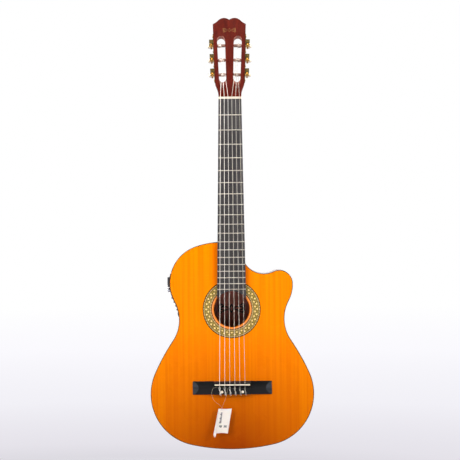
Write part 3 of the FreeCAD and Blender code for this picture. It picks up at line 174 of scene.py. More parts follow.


def lacquered_spruce():
    """The amber soundboard: book-matched growth rings, broad bands, a little silk, and painted
    shade.
    """
    paint = Paint("amber_spruce", {"Coat Weight": 0.12, "Coat Roughness": 0.06, "Coat IOR": 1.3,
                                   "Specular IOR Level": 0.2,
                                   "Specular Tint": (1.0, 0.4, 0.05)})
    across, _, up = paint.node("SeparateXYZ", {0: paint.place}).node.outputs
    half = paint.math("ABSOLUTE", across)
    folded = paint.node("CombineXYZ", {0: half, 1: 0.0, 2: up})
    long_grain = paint.stretched((1.0, 1.0, 0.012), folded)
    broad = paint.noise(long_grain, 34.0, 2.0)
    bands = paint.noise(long_grain, 150.0, 2.0)
    colour = paint.ramp(broad, [(0.3, AMBER), (0.7, PALE_AMBER)])
    colour = paint.mix(paint.level(bands, 0.42, 0.68, 0.0, 0.6), colour, BAND_AMBER)
    wave = {"Vector": long_grain, "Scale": 230.0, "Distortion": 1.6, "Detail": 2.0,
            "Detail Scale": 0.6}
    rings = paint.node("TexWave", wave, output=1)
    colour = paint.mix(paint.level(rings, 0.55, 1.0, 0.0, 0.30), colour, RING_AMBER)
    silk = paint.noise(paint.stretched((1.0, 1.0, 5.0)), 60.0, 2.0)
    colour = paint.mix(paint.level(silk, 0.55, 0.75, 0.0, 0.16), colour, SILK_AMBER)
    # Painted shade: darker towards the bottom of the lower bout, most in the middle.
    middle = paint.level(paint.level(half, 0.19, 0.02), 0.0, 1.0, 0.45, 1.0)
    bottom_shade_mask = paint.math("MULTIPLY", paint.level(up, BOTTOM_FROM, BOTTOM_TO), middle)
    colour = paint.mix(bottom_shade_mask, colour, PAINTED_BOTTOM_SHADE)
    # Painted shadow of the fingerboard on the soundboard beside it.
    neck_shadow_mask = paint.math("MULTIPLY", paint.level(half, 0.058, 0.026),
                             paint.level(up, NECK_FROM, NECK_TO))
    colour = paint.mix(paint.math("MULTIPLY", neck_shadow_mask, 0.45), colour, PAINTED_NECK_SHADOW)
    paint.put("Base Color", colour)
    paint.bump(rings, 0.03, 0.0001)
    paint.vary_roughness(14.0, 0.24, 0.34)
    return paint


def metal(name, colour, tarnish, rough, brushed=(1.0, 1.0, 1.0)):
    """Plated metal, dulled in patches and finely brushed along the axis that brushed shrinks."""
    paint = Paint(name, {"Metallic": 1.0})
    patches = paint.noise(paint.place, 260.0, 3.0)
    paint.put("Base Color", paint.mix(paint.level(patches, 0.45, 0.75), colour, tarnish))
    lines = paint.noise(paint.stretched(brushed), 5200.0, 2.0)
    paint.put("Roughness", paint.level(lines, 0.3, 0.7, rough - 0.07, rough + 0.1))
    paint.bump(lines, 0.05, 0.00005)
    return paint


def plastic(name, colour, rough, texture=900.0, relief=0.1, **more):
    """Moulded plastic with a fine texture and handled patches."""
    values = {key.replace("_", " "): value for key, value in more.items()}
    paint = Paint(name, values)
    cloud = paint.noise(paint.place, 120.0, 3.0)
    shade = [min(1.0, c * 1.22 + 0.004) for c in colour]
    paint.put("Base Color", paint.mix(paint.level(cloud, 0.4, 0.7), colour, shade))
    paint.bump(paint.noise(paint.place, texture, 2.0), relief, 0.0001)
    paint.vary_roughness(90.0, rough - 0.05, rough + 0.07)
    return paint


def pearl():
    """Cream pearloid: curved flakes that shift in tone."""
    paint = Paint("pearloid", {"Coat Weight": 0.6, "Coat Roughness": 0.08, "Roughness": 0.28,
                               "Sheen Weight": 0.2})
    warp = paint.node("TexNoise", {"Vector": paint.place, "Scale": 130.0, "Detail": 2.0}, output=1)
    push = paint.node("VectorMath", {0: warp, 3: 0.012}, operation="SCALE")
    moved = paint.node("VectorMath", {0: paint.place, 1: push}, operation="ADD")
    flakes = paint.node("TexVoronoi", {"Vector": moved, "Scale": 260.0}, feature="SMOOTH_F1")
    stops = [(0.1, (0.90, 0.80, 0.64)), (0.45, (0.78, 0.66, 0.48)), (0.8, (0.95, 0.89, 0.78))]
    paint.put("Base Color", paint.ramp(flakes, stops))
    paint.bump(flakes, 0.03, 0.0001)
    return paint


def bone(name, dark, light):
    """Cream bone with faint long pores."""
    paint = Paint(name, {"Subsurface Weight": 0.15, "Subsurface Scale": 0.002})
    fibres = paint.noise(paint.stretched((0.08, 1.0, 1.0)), 2600.0, 2.0)
    paint.put("Base Color", paint.ramp(fibres, [(0.3, dark), (0.6, light)]))
    paint.bump(fibres, 0.05, 0.0001)
    paint.vary_roughness(200.0, 0.3, 0.42)
    return paint


def wound_string():
    """Silvered wire wound round the core: its turns are fine ribs along it, with painted shade
    between.
    """
    paint = Paint("silvered_winding", {"Metallic": 0.5, "Roughness": 0.45})
    turns = paint.node("TexWave", {"Vector": paint.place, "Scale": 1150.0}, output=1,
                       bands_direction="Z")
    dull = paint.noise(paint.stretched((1.0, 1.0, 0.05)), 700.0, 2.0)
    silver = paint.ramp(dull, [(0.3, (0.86, 0.81, 0.72)), (0.7, (0.95, 0.91, 0.82))])
    # Painted shade: darker in the grooves between the turns.
    groove_shade = paint.level(turns, 0.0, 0.3, 0.24, 0.0)
    paint.put("Base Color", paint.mix(groove_shade, silver, (0.30, 0.26, 0.20)))
    paint.bump(turns, 0.3, 0.0001)
    return paint


def clear_nylon():
    """Half-clear string with a faint cloudiness."""
    paint = Paint("clear_nylon", {"Roughness": 0.16, "Transmission Weight": 0.5, "IOR": 1.53})
    cloud = paint.noise(paint.stretched((1.0, 1.0, 0.1)), 400.0, 2.0)
    stops = [(0.3, (0.92, 0.85, 0.70)), (0.7, (0.98, 0.93, 0.82))]
    paint.put("Base Color", paint.ramp(cloud, stops))
    paint.bump(cloud, 0.04, 0.0001)
    return paint


def paper():
    """Cream-white card with faint fibres."""
    paint = Paint("white_card", {"Roughness": 0.62, "Subsurface Weight": 0.05,
                                 "Subsurface Scale": 0.001})
    fibres = paint.noise(paint.place, 1400.0, 4.0, 0.7)
    stops = [(0.3, (0.78, 0.71, 0.63)), (0.65, (0.90, 0.83, 0.75))]
    paint.put("Base Color", paint.ramp(fibres, stops))
    paint.bump(fibres, 0.12, 0.0001)
    return paint


def display_glass():
    """Smoked glass over a dark grid of cells."""
    paint = Paint("display_glass", {"Roughness": 0.08, "Coat Weight": 1.0, "Coat Roughness": 0.03})
    cells = paint.node("TexChecker", {"Vector": paint.place, "Scale": 900.0}, output=1)
    share = paint.level(cells, 0.0, 1.0, 0.0, 0.5)
    paint.put("Base Color", paint.mix(share, (0.012, 0.02, 0.022), (0.03, 0.045, 0.045)))
    return paint


# Stretches of a texture: small along the grain.
ALONG_Z = (1.0, 1.0, 0.02)
ALONG_X = (0.02, 1.0, 1.0)
ROUND_RIB = (0.05, 1.0, 0.05)
NO_GRAIN = (1.0, 1.0, 1.0)

PAINTS = {
    "spruce": lacquered_spruce(),
    "ribs": wood("lacquered_ribs", (0.115, 0.022, 0.010), (0.23, 0.055, 0.024), ROUND_RIB, 90.0,
                 900.0, 0.2, coat=0.9, pores=0.35, relief=0.04),
    "back": wood("lacquered_back", (0.105, 0.020, 0.011), (0.22, 0.052, 0.026), ALONG_Z, 75.0,
                 900.0, 0.22, coat=0.8, pores=0.4, relief=0.05),
    "mahogany": wood("stained_mahogany", (0.105, 0.016, 0.008), (0.19, 0.034, 0.017), ALONG_Z,
                     110.0, 1300.0, 0.34, coat=0.35, pores=0.45, relief=0.05),
    "veneer": wood("headstock_face", (0.060, 0.0062, 0.0036), (0.104, 0.0105, 0.0052), ALONG_Z,
                   120.0, 1500.0, 0.3, coat=0.35, pores=0.4, relief=0.04),
    "binding": plastic("dark_binding", (0.105, 0.042, 0.005), 0.6, Specular_IOR_Level=0.02),
    "dark_tile": plastic("dark_veneer_line", (0.036, 0.013, 0.002), 0.7, Specular_IOR_Level=0.0),
    "slot_wall": wood("sanded_slot", (0.34, 0.12, 0.08), (0.46, 0.18, 0.12), ALONG_Z, 110.0, 900.0,
                      0.5, pores=0.2),
    # The tuner plates: gold darkened as a painted dark reflection.
    "painted_dark_reflection_gold": metal("painted_dark_reflection_gold", (0.20, 0.15, 0.05), (0.10, 0.075, 0.03), 0.36),
    # Lighter than the bridge: a painted highlight on the bevels at the ends of its wings.
    "facet": wood("bevel_painted_highlight", (0.016, 0.018, 0.022), (0.034, 0.038, 0.045), ALONG_X, 160.0,
                  1500.0, 0.3, coat=0.5),
    "inner_wood": wood("plain_spruce", (0.46, 0.29, 0.14), (0.62, 0.44, 0.25), ALONG_Z, 130.0,
                       900.0, 0.62, pores=0.2),
    "cross_wood": wood("plain_spruce_across", (0.46, 0.29, 0.14), (0.62, 0.44, 0.25), ALONG_X,
                       130.0, 900.0, 0.62, pores=0.2),
    "rosewood": wood("dark_fingerboard", (0.030, 0.027, 0.028), (0.060, 0.054, 0.055), ALONG_Z,
                     160.0, 1500.0, 0.42, pores=0.6, relief=0.16),
    "bridge": wood("ebonised_bridge", (0.003, 0.0028, 0.003), (0.008, 0.0075, 0.0075), ALONG_X,
                   160.0, 1500.0, 0.36, pores=0.5, relief=0.12),
    "rosette_base": wood("rosette_ground", (0.21, 0.135, 0.022), (0.36, 0.25, 0.050), NO_GRAIN,
                         500.0, 1800.0, 0.3, coat=0.3),
    "inner_back": wood("unlacquered_back", (0.58, 0.19, 0.14), (0.84, 0.33, 0.25),
                       (1.0, 1.0, 0.012), 190.0, 900.0, 0.75, pores=0.3),
    "saddle_bone": bone("saddle_bone", (0.74, 0.66, 0.48), (0.88, 0.81, 0.65)),
    "nut_bone": bone("nut_bone", (0.46, 0.39, 0.30), (0.58, 0.50, 0.41)),
    "pearl": pearl(),
    "nickel": metal("fret_nickel", (0.56, 0.51, 0.43), (0.38, 0.34, 0.28), 0.3, (0.05, 1.0, 1.0)),
    "gold": metal("gold_plate", (0.70, 0.45, 0.14), (0.34, 0.20, 0.06), 0.26, (1.0, 1.0, 0.05)),
    "wound_string": wound_string(),
    "nylon": clear_nylon(),
    "black": plastic("black_moulding", (0.052, 0.052, 0.056), 0.38, 1500.0, 0.25),
    "soft_black": plastic("black_sleeve", (0.02, 0.02, 0.021), 0.55, 700.0, 0.2),
    "roller": plastic("brown_roller", (0.20, 0.10, 0.065), 0.28, Coat_Weight=0.8),
    "roller_pin": metal("brown_pin", (0.20, 0.11, 0.07), (0.10, 0.06, 0.04), 0.35),
    "chrome": metal("knob_chrome", (0.72, 0.75, 0.80), (0.50, 0.53, 0.58), 0.16, (1.0, 0.05, 1.0)),
    "display": display_glass(),
    "battery": metal("battery_case", (0.30, 0.29, 0.27), (0.12, 0.12, 0.12), 0.35),
    "card": paper(),
    "print": plastic("grey_print", (0.10, 0.10, 0.11), 0.6),
    "thread": plastic("clear_thread", (0.80, 0.70, 0.50), 0.18, Transmission_Weight=0.5),
    "old_gold": metal("gold_ornament", (0.30, 0.135, 0.055), (0.22, 0.085, 0.035), 0.42),
    "ink": plastic("black_ink", (0.008, 0.006, 0.006), 0.5),
    "hole_ring": wood("pale_ring", (0.80, 0.235, 0.045), (0.92, 0.31, 0.085), NO_GRAIN, 260.0,
                      1600.0, 0.26, coat=0.3, relief=0.03),
}

NODE_PAINTS = {
    "soundboard": "spruce", "rosette": "rosette_base", "rib_bass": "ribs", "rib_treble": "ribs",
    "back_plate": "back", "binding": "binding", "linings": "inner_wood",
    "neck_block": "inner_wood", "tail_block": "cross_wood", "soundboard_braces": "inner_wood",
    "back_braces": "cross_wood", "bridge": "bridge", "saddle": "saddle_bone", "nut": "nut_bone",
    "bridge_dots": "pearl", "bridge_bolts": "nickel", "neck": "mahogany",
    "fingerboard": "rosewood", "frets": "nickel", "headstock": "mahogany",
    # the tuner plates: gold darkened as a painted dark reflection
    "headstock_veneer": "veneer", "tuner_plate_bass": "painted_dark_reflection_gold",
    "tuner_plate_treble": "painted_dark_reflection_gold",
    "wood_screws": "gold", "preamp_panel": "black", "battery_door": "black",
    "preamp_knob": "chrome", "tuner_button": "black", "preamp_display": "display",
    "preamp_case": "soft_black", "battery": "battery", "jack_socket": "nickel",
    "jack_lead": "soft_black", "piezo_pickup": "soft_black", "tag_loop": "thread",
    "hang_tag": "card", "treble_strings": "nylon", "bass_strings": "wound_string",
}
for name in NODES:
    if name.startswith("slider_"):
        NODE_PAINTS[name] = "black"
for n in STRINGS:
    NODE_PAINTS[f"worm_{n}"] = NODE_PAINTS[f"roller_{n}"] = "gold"
    NODE_PAINTS[f"button_{n}"] = "pearl"


def dress(node, paint):
    """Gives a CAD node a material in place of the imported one."""
    mesh = NODES[node].data
    mesh.materials.clear()
    mesh.materials.append(paint.material)


for node, paint_name in NODE_PAINTS.items():
    dress(node, PAINTS[paint_name])


def repaint(node, paint_name, chosen):
    """Gives a second material to the faces of a CAD node that chosen picks by centre and normal."""
    mesh = NODES[node].data
    mesh.materials.append(PAINTS[paint_name].material)
    last = len(mesh.materials) - 1
    for face in mesh.polygons:
        if chosen(face.center, face.normal):
            face.material_index = last


def off_axis(point, joint):
    """How far a point is from a joint's axis."""
    arm = point - Vector(joint["pos_m"])
    along = arm.dot(Vector(joint["axis"]).normalized())
    return math.sqrt(max(arm.length_squared - along * along, 0.0))


WING_END_X = 0.075  # the bridge's bevels lie beyond it
SLOT_X, SLOT_Z = (0.006, 0.0285), (0.035, 0.155)  # where the headstock's slots are
HEAD_EDGE_X = 0.0335  # a roller's barrel lies within it, and its gear outside
PIN_RADIUS = 0.0028  # of a roller's core, beside its barrel


def is_bevel(at, normal):
    """One of the sloping faces at the ends of the bridge's wings."""
    return abs(at.x) > WING_END_X and 0.15 < abs(normal.x) < 0.95 and normal.y < -0.2


def is_slot_wall(at, normal):
    """One of the cut faces inside the headstock's slots."""
    in_slot = SLOT_X[0] < abs(at.x) < SLOT_X[1] and SLOT_Z[0] < at.z < SLOT_Z[1]
    return in_slot and abs(normal.y) < 0.6


repaint("back_plate", "inner_back", lambda at, normal: normal.y < -0.5)
# The bridge's bevels get the lighter facet paint: a painted highlight.
repaint("bridge", "facet", is_bevel)
for node in ("headstock", "headstock_veneer"):
    repaint(node, "slot_wall", is_slot_wall)
for n in STRINGS:
    turn = JOINTS[f"roller_{n}_turn"]
    repaint(f"roller_{n}", "roller", lambda at, _: abs(at.x) < HEAD_EDGE_X)
    repaint(f"roller_{n}", "roller_pin",
            lambda at, _: abs(at.x) < HEAD_EDGE_X and off_axis(at, turn) < PIN_RADIUS)


# ---------------------------------------------------------------- meshes

SHARP = math.radians(35)  # smooth shading stops at edges that turn more


def piece(name, shell, paint, body="guitar", smooth=True):
    """A mesh of (points in metres, faces), in the row frame, riding on a body."""
    points, faces = shell
    mesh = bpy.data.meshes.new(name)
    mesh.from_pydata([tuple(p) for p in points], [], faces)
    mesh.materials.append(PAINTS[paint].material)
    shape = bmesh.new()
    shape.from_mesh(mesh)
    bmesh.ops.recalc_face_normals(shape, faces=shape.faces)
    shape.to_mesh(mesh)
    shape.free()
    if smooth:
        mesh.polygons.foreach_set("use_smooth", [True] * len(mesh.polygons))
        mesh.set_sharp_from_angle(angle=SHARP)
    made = bpy.data.objects.new(name, mesh)
    bpy.context.scene.collection.objects.link(made)
    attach(made, body)
    return made


def walls(rings, count, closed=False):
    """Faces between rings of count points each; closed joins the last ring to the first."""
    faces = []
    for ring in range(rings if closed else rings - 1):
        here, there = ring * count, (ring + 1) % rings * count
        for i in range(count):
            j = (i + 1) % count
            faces.append((here + i, here + j, there + j, there + i))
    return faces


def strip(points):
    """A closed strip through sections of four points."""
    last = len(points) - 1
    return points, walls(len(points) // 4, 4) + [(0, 1, 2, 3), (last, last - 1, last - 2, last - 3)]


def tangent(path, index):
    """The way that a path goes at one of its points."""
    return (path[min(index + 1, len(path) - 1)] - path[max(index - 1, 0)]).normalized()


def sweep(path, radius, sides=10):
    """A round bar along a path, closed at both ends."""
    points = []
    across = tangent(path, 0).orthogonal().normalized()
    for index, at in enumerate(path):
        ahead = tangent(path, index)
        across = (across - ahead * across.dot(ahead)).normalized()
        up = ahead.cross(across)
        for side in range(sides):
            angle = 2 * math.pi * side / sides
            points.append(at + (across * math.cos(angle) + up * math.sin(angle)) * radius)
    caps = [tuple(range(sides)), tuple(range(len(points) - sides, len(points)))]
    return points, walls(len(path), sides) + caps


def rounded(corners, radius, steps=6):
    """Straight runs whose corners are rounded by curves that start at most radius away."""
    path = [corners[0]]
    for before, corner, after in zip(corners, corners[1:], corners[2:]):
        into, out = corner - before, after - corner
        turn = into.angle(out)
        if turn < 0.01:
            path.append(corner)
            continue
        share = min(0.48 * into.length, 0.48 * out.length, radius * math.tan(turn / 2))
        start, end = corner - into.normalized() * share, corner + out.normalized() * share
        for step in range(steps + 1):
            t = step / steps
            path.append(start * (1 - t) ** 2 + corner * 2 * t * (1 - t) + end * t**2)
    path.append(corners[-1])
    return path


def merged(shells):
    """One list of points and one of faces from several."""
    points, faces = [], []
    for part_points, part_faces in shells:
        start = len(points)
        points += part_points
        faces += [tuple(i + start for i in face) for face in part_faces]
    return points, faces


# ---------------------------------------------------------------- strings

DIAMETERS = {1: 0.71, 2: 0.82, 3: 1.02, 4: 0.74, 5: 0.88, 6: 1.09}  # mm
BARREL = 3.8  # mm, radius of a roller's barrel
SADDLE_Z, TROUGH_Z, BRIDGE_BACK_Z = -650.2, -657.6, -672.3  # mm
NUT_PITCH, SADDLE_PITCH = 8.65, 11.5  # mm
NUT_BACK_Z = 5.6  # mm
NUT_Y, SADDLE_Y, BLOCK_Y, TIE_HOLE_Y = -7.5, -12.5, -9.2, -5.4  # mm
TURNS_LENGTH = 6.6  # mm of barrel that the turns of one string cover
TURN_PITCH = 1.06  # string diameters from turn to turn
FIRST_TURN_GAP = 0.3  # mm, with one diameter, from the meeting place to the first turn
TURN_STEPS = 22  # sections of the mesh in one turn
SLACK = 0.00012  # metres between a barrel and its turns
# Where each string meets its barrel, in mm from the middle, and 1 where the turns go outwards.
MEETS = {1: (20.3, -1), 2: (16.6, 1), 3: (18.6, 1), 4: (18.6, 1), 5: (16.6, 1), 6: (20.3, -1)}
HEAD_TILT = math.radians(14)
HEAD_START_Z = 0.005
HEAD = Matrix.Translation((0, 0, HEAD_START_Z)) @ Matrix.Rotation(-HEAD_TILT, 4, "X")


def side_place(number, pitch):
    """X in mm of a string where neighbouring strings are pitch apart."""
    return (3.5 - number) * pitch


def roller_line(number):
    """A point on a roller's axis at the headstock's edge, and the direction outwards."""
    joint = JOINTS[f"roller_{number}_turn"]
    outwards = Vector(joint["axis"]).normalized()
    return Vector(joint["pos_m"]), outwards if number <= 3 else -outwards


def first_turn(number):
    """Centre of a string's first turn on its roller, and the way that the turns go."""
    meets, way = MEETS[number]
    start, outwards = roller_line(number)
    edge = abs((HEAD.inverted() @ start).x)
    across = (meets + way * (DIAMETERS[number] + FIRST_TURN_GAP)) * MM
    return start + outwards * (across - edge), outwards * way


def winding(number):
    """The turns on a roller, which continue the line that comes from the nut."""
    diameter = DIAMETERS[number] * MM
    centre, way = first_turn(number)
    radius = BARREL * MM + diameter / 2 + SLACK
    up = (HEAD.to_3x3() @ Vector((0, 0, 1))).normalized()
    up = (up - way * up.dot(way)).normalized()
    back = way.cross(up)
    if back.y < 0:
        back = -back
    pitch = diameter * TURN_PITCH
    turns = (TURNS_LENGTH * MM - diameter) / pitch
    nut = (side_place(number, NUT_PITCH), NUT_Y - DIAMETERS[number] / 2, NUT_BACK_Z)
    to_nut = Vector(nut) * MM - centre
    to_nut -= way * to_nut.dot(way)
    start_angle = math.atan2(to_nut.dot(up), -to_nut.dot(back)) + math.acos(radius / to_nut.length)
    path = []
    steps = int(turns * TURN_STEPS)
    for step in range(steps + 1):
        angle = start_angle + 2 * math.pi * turns * step / steps
        out = -back * math.cos(angle) + up * math.sin(angle)
        path.append(centre + out * radius + way * (pitch * turns * step / steps))
    return path


def string_path(number, touch):
    """From the roller over the nut and the saddle, and through its knot on the tie block."""
    r = DIAMETERS[number] / 2
    x = side_place(number, SADDLE_PITCH)
    nut_x = side_place(number, NUT_PITCH)
    over = BLOCK_Y - r - 0.1
    crown = SADDLE_Y - r
    corners = [
        (nut_x, NUT_Y - r - 0.12, 5.4),
        (nut_x, NUT_Y - r, 0.2),
        (x, crown, SADDLE_Z + 0.5),
        (x, crown, SADDLE_Z - 0.6),
        (x, TIE_HOLE_Y, TROUGH_Z + 0.5),
        (x, TIE_HOLE_Y, BRIDGE_BACK_Z - r - 0.4),
        (x + 0.4, over - 0.1, BRIDGE_BACK_Z - r - 0.1),
        (x + 0.9, over, TROUGH_Z - 0.4),
        (x + 1.5, TIE_HOLE_Y - 1.6, TROUGH_Z + r + 0.9),
        (x + 0.2, TIE_HOLE_Y + 0.5, TROUGH_Z + 2.2),
        (x - 1.5, TIE_HOLE_Y - 1.6, TROUGH_Z + r + 1.0),
        (x - 1.4, over, TROUGH_Z - 1.2),
        (x - 0.9, over - 0.3, TROUGH_Z - 4.4),
        (x + 0.7, over - 2.0 * r - 0.1, TROUGH_Z - 6.6),
        (x + 2.2, over - 0.2, TROUGH_Z - 9.0),
        (x + 2.5, over, TROUGH_Z - 14.0),
        (x + 2.7, over + 1.1, BRIDGE_BACK_Z - 2.4),
    ]
    points = [Vector(c) * MM for c in corners]
    return rounded([touch] + points, 1.6 * MM)


for n in STRINGS:
    turns_path = winding(n)
    kind = "nylon" if n <= 3 else "wound_string"
    half = DIAMETERS[n] / 2 * MM
    piece(f"string_{n}_turns", sweep(turns_path, half, 8), kind, f"string_roller_{n}")
    line = piece(f"string_{n}", sweep(string_path(n, turns_path[0]), half), kind)
    if n in (1, 4):
        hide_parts("treble_strings" if n == 1 else "bass_strings")


# ---------------------------------------------------------------- rosette

HOLE = Vector((0.0, 0.0, -478.4)) * MM
TILE_LIFT, TILE_ROOT = 0.06, -0.2  # mm above the soundboard


def on_ring(radius, angle, lift):
    """A point round the soundhole; radius and lift above the soundboard are in mm."""
    return HOLE + Vector((radius * math.sin(angle), -lift, radius * math.cos(angle))) * MM


def tile(inner, outer, start, end, skew=0.0, lift=TILE_LIFT):
    """A block between two radii and two angles, whose outer side may be turned by skew."""
    corners = [(inner, start), (inner, end), (outer, end + skew), (outer, start + skew)]
    points = [on_ring(r, a, height) for height in (lift, TILE_ROOT) for r, a in corners]
    return points, [(0, 1, 2, 3), (7, 6, 5, 4)] + walls(2, 4)


def lozenge(radius, angle, tall, wide, lift):
    """A pointed tile with its middle at a radius and an angle."""
    turn = wide / radius / 2
    corners = [(radius - tall / 2, angle), (radius, angle + turn),
               (radius + tall / 2, angle), (radius, angle - turn)]
    points = [on_ring(r, a, height) for height in (lift, TILE_ROOT) for r, a in corners]
    points.append(on_ring(radius, angle, lift + 0.05))
    return points, [(i, (i + 1) % 4, 8) for i in range(4)] + [(7, 6, 5, 4)] + walls(2, 4)


def turned_ring(section, steps=160):
    """A ring about the soundhole's axis from its (radius, height) section in mm."""
    angles = [2 * math.pi * step / steps for step in range(steps)]
    points = [on_ring(radius, angle, height) for angle in angles for radius, height in section]
    return points, walls(steps, len(section), closed=True)


def circlet(inner, outer, lift=TILE_LIFT):
    """A flat ring between two radii."""
    section = [(inner, lift), (outer, lift), (outer, TILE_ROOT), (inner, TILE_ROOT)]
    return turned_ring(section, 144)


def tiles(inner, outer, count, share, phase=0.0, skew=0.0, lift=TILE_LIFT):
    """A ring of count tiles, each taking share of its place."""
    step = 2 * math.pi / count
    return merged([
        tile(inner, outer, (i + phase) * step, (i + phase + share) * step, skew * step, lift)
        for i in range(count)])


def lozenges(radius, count, tall, wide, phase, lift=TILE_LIFT + 0.02):
    """A ring of count pointed tiles; phase moves it on by a share of a place."""
    step = 2 * math.pi / count
    return merged([lozenge(radius, (i + phase) * step, tall, wide, lift) for i in range(count)])


MOSAIC = {  # a paint, and tiles in mm, for each colour
    "dark": ("dark_tile", [
        circlet(64.1, 66.1, 0.04), circlet(61.0, 61.4), circlet(45.45, 47.1, 0.04),
        circlet(50.2, 50.5), lozenges(55.9, 30, 2.9, 2.7, 0.25), lozenges(55.9, 30, 2.9, 2.7, 0.75),
    ]),
    "cream": ("cream_tile", [
        tiles(63.2, 64.2, 60, 0.3, lift=0.07), tiles(47.0, 47.9, 48, 0.3, lift=0.07),
    ]),
    "tan": ("tan_tile", [
        tiles(61.4, 64.1, 96, 0.46, skew=0.7), tiles(47.1, 50.2, 84, 0.46, skew=-0.8),
        tiles(53.6, 58.0, 30, 0.16, 0.08, 0.42), tiles(53.6, 58.0, 30, 0.16, 0.76, -0.42),
    ]),
    "olive": ("olive_tile", [
        tiles(61.4, 64.1, 96, 0.40, 0.53, skew=0.7), tiles(47.1, 50.2, 84, 0.40, 0.53, skew=-0.8),
        lozenges(60.0, 60, 1.9, 3.0, 0.25), lozenges(51.6, 60, 1.7, 2.8, 0.25),
    ]),
    "gold": ("gold_tile", [
        lozenges(58.2, 30, 4.3, 5.0, 0.5), lozenges(53.4, 30, 4.3, 4.8, 0.0),
    ]),
}
for paint_name, dark, light in (
    ("cream_tile", (0.72, 0.50, 0.22), (0.90, 0.70, 0.36)),
    ("tan_tile", (0.42, 0.28, 0.11), (0.58, 0.42, 0.19)),
    ("olive_tile", (0.16, 0.115, 0.025), (0.25, 0.19, 0.05)),
    ("gold_tile", (0.80, 0.55, 0.15), (1.0, 0.78, 0.30)),
):
    PAINTS[paint_name] = wood(f"rosette_{paint_name}", dark, light, NO_GRAIN, 700.0, 2400.0,
                              0.28, coat=0.25, relief=0.03)
for colour, (paint_name, shells) in MOSAIC.items():
    piece(f"rosette_{colour}", merged(shells), paint_name, smooth=False)

EDGE = [(45.4, -0.02), (45.3, 0.10), (44.6, 0.16), (43.0, 0.16), (42.3, 0.06), (42.1, -0.3),
        (45.4, -0.3)]
LIP = [(42.25, -0.02), (41.9, 0.02), (41.3, -0.2), (41.02, -0.7), (41.02, -2.4), (41.6, -2.4),
       (42.1, -0.4)]
piece("soundhole_ring", turned_ring(EDGE), "hole_ring")
piece("soundhole_lip", turned_ring(LIP), "binding")


# ---------------------------------------------------------------- ornaments


def surface_of(node):
    """A CAD node's surface, for finding where a ray meets it."""
    mesh = NODES[node].data
    corners = [v.co for v in mesh.vertices]
    return BVHTree.FromPolygons(corners, [tuple(p.vertices) for p in mesh.polygons])


def scroll(start, heading, length, curl, tighten, steps=26):
    """A spiral stroke: points in mm, from a start, turning ever more tightly."""
    points, at, angle = [Vector(start)], Vector(start), heading
    for step in range(steps):
        t = (step + 0.5) / steps
        angle += curl * (1 + tighten * t * t) * length / steps
        at = at + Vector((math.cos(angle), math.sin(angle))) * (length / steps)
        points.append(at)
    return points


def ribbon(stroke, width, lay):
    """A thin tapering strip along a flat stroke; lay puts a flat point on a surface."""
    points = []
    last = len(stroke) - 1
    for index, at in enumerate(stroke):
        ahead = tangent(stroke, index)
        aside = Vector((-ahead.y, ahead.x))
        half = width * (0.18 + 0.82 * math.sin(math.pi * (index + 0.4) / (last + 0.8)) ** 0.7) / 2
        for side, lift in ((1, 0.07), (-1, 0.07), (-1, -0.1), (1, -0.1)):
            points.append(lay(at + aside * half * side, lift))
    return strip(points)


def flourish(wide, lay, weight):
    """A lozenge between two mirrored pairs of scrolls, wide mm from end to end."""
    unit = wide / 40.0
    strokes = []
    for side in (-1, 1):
        for lift, turn in ((1, 1), (-1, -1)):
            arm = scroll((2.6, 0.5 * lift), 0.45 * lift, 19.0, -0.055 * turn, 9.0)
            leaf = scroll((7.0, 1.9 * lift), 0.9 * lift, 8.0, -0.16 * turn, 3.0)
            strokes += [([Vector((p.x * side, p.y)) * unit for p in arm], weight),
                        ([Vector((p.x * side, p.y)) * unit for p in leaf], weight * 0.8)]
    rim = [(0, 4.6), (2.3, 0), (0, -4.6), (-2.3, 0), (0, 4.6)]
    for first, second in zip(rim, rim[1:]):
        strokes.append(([Vector(first).lerp(Vector(second), t / 6) * unit for t in range(7)],
                        weight * 0.9))
    return merged([ribbon(points, width, lay) for points, width in strokes])


VENEER_FACE_Y, HEAD_ORNAMENT_Z = -2.0, 160.0  # mm, in the tilted headstock's own axes
BACK_ORNAMENT_Z = -2.0  # mm from the soundhole's middle
INSIDE_Y = 0.02  # a place inside the body, in front of its back
back_surface = surface_of("back_plate")


def on_headstock(point, lift):
    """On the headstock's face, near its top."""
    return HEAD @ (Vector((point.x, VENEER_FACE_Y - lift, HEAD_ORNAMENT_Z + point.y)) * MM)


def on_back(point, lift):
    """On the inside of the back, behind the soundhole."""
    start = Vector((point.x * MM, INSIDE_Y, HOLE.z + (point.y + BACK_ORNAMENT_Z) * MM))
    hit = back_surface.ray_cast(start, Vector((0, 1, 0)))[0]
    return Vector((start.x, hit.y - lift * MM, start.z))


piece("headstock_flourish", flourish(42.0, on_headstock, 1.1), "old_gold", smooth=False)
piece("inner_flourish", flourish(86.0, on_back, 3.6), "ink", smooth=False)


# ---------------------------------------------------------------- hang tag

FOLD = 0.8  # where the flap at the card's left starts, from its right edge
CARD_THICK = 0.4  # mm
TAG_LINES = {  # mm, top and bottom of three lines down the card
    "right": ((-1.6, -703.6), (-11.2, -760.4)),
    "fold": ((-31.0, -703.8), (-37.2, -760.2)),
    "flap": ((-32.0, -704.2), (-44.4, -763.8)),
}


def on_card(across, down, lift=0.0):
    """A point of the card in metres: across from right to left, down from its top."""
    def line(name):
        top, bottom = (Vector(p) for p in TAG_LINES[name])
        return top.lerp(bottom, down)

    if across <= FOLD:
        share = across / FOLD
        at = line("right").lerp(line("fold"), share)
        at.y += 1.1 * math.sin(math.pi * share) * (down * 2 - 1)
        depth = 6.9 + 2.8 * (2 * share - 1) ** 2
    else:
        share = (across - FOLD) / (1 - FOLD)
        at = line("fold").lerp(line("flap"), share)
        at.y -= 6.2 * math.sin(math.pi * min(share * 1.2, 1.0)) ** 0.6 * down**6
        depth = 9.7 + (0.8 + 3.6 * down) * math.sin(share * 1.7)
    return Vector((at.x, -depth - lift, at.y)) * MM


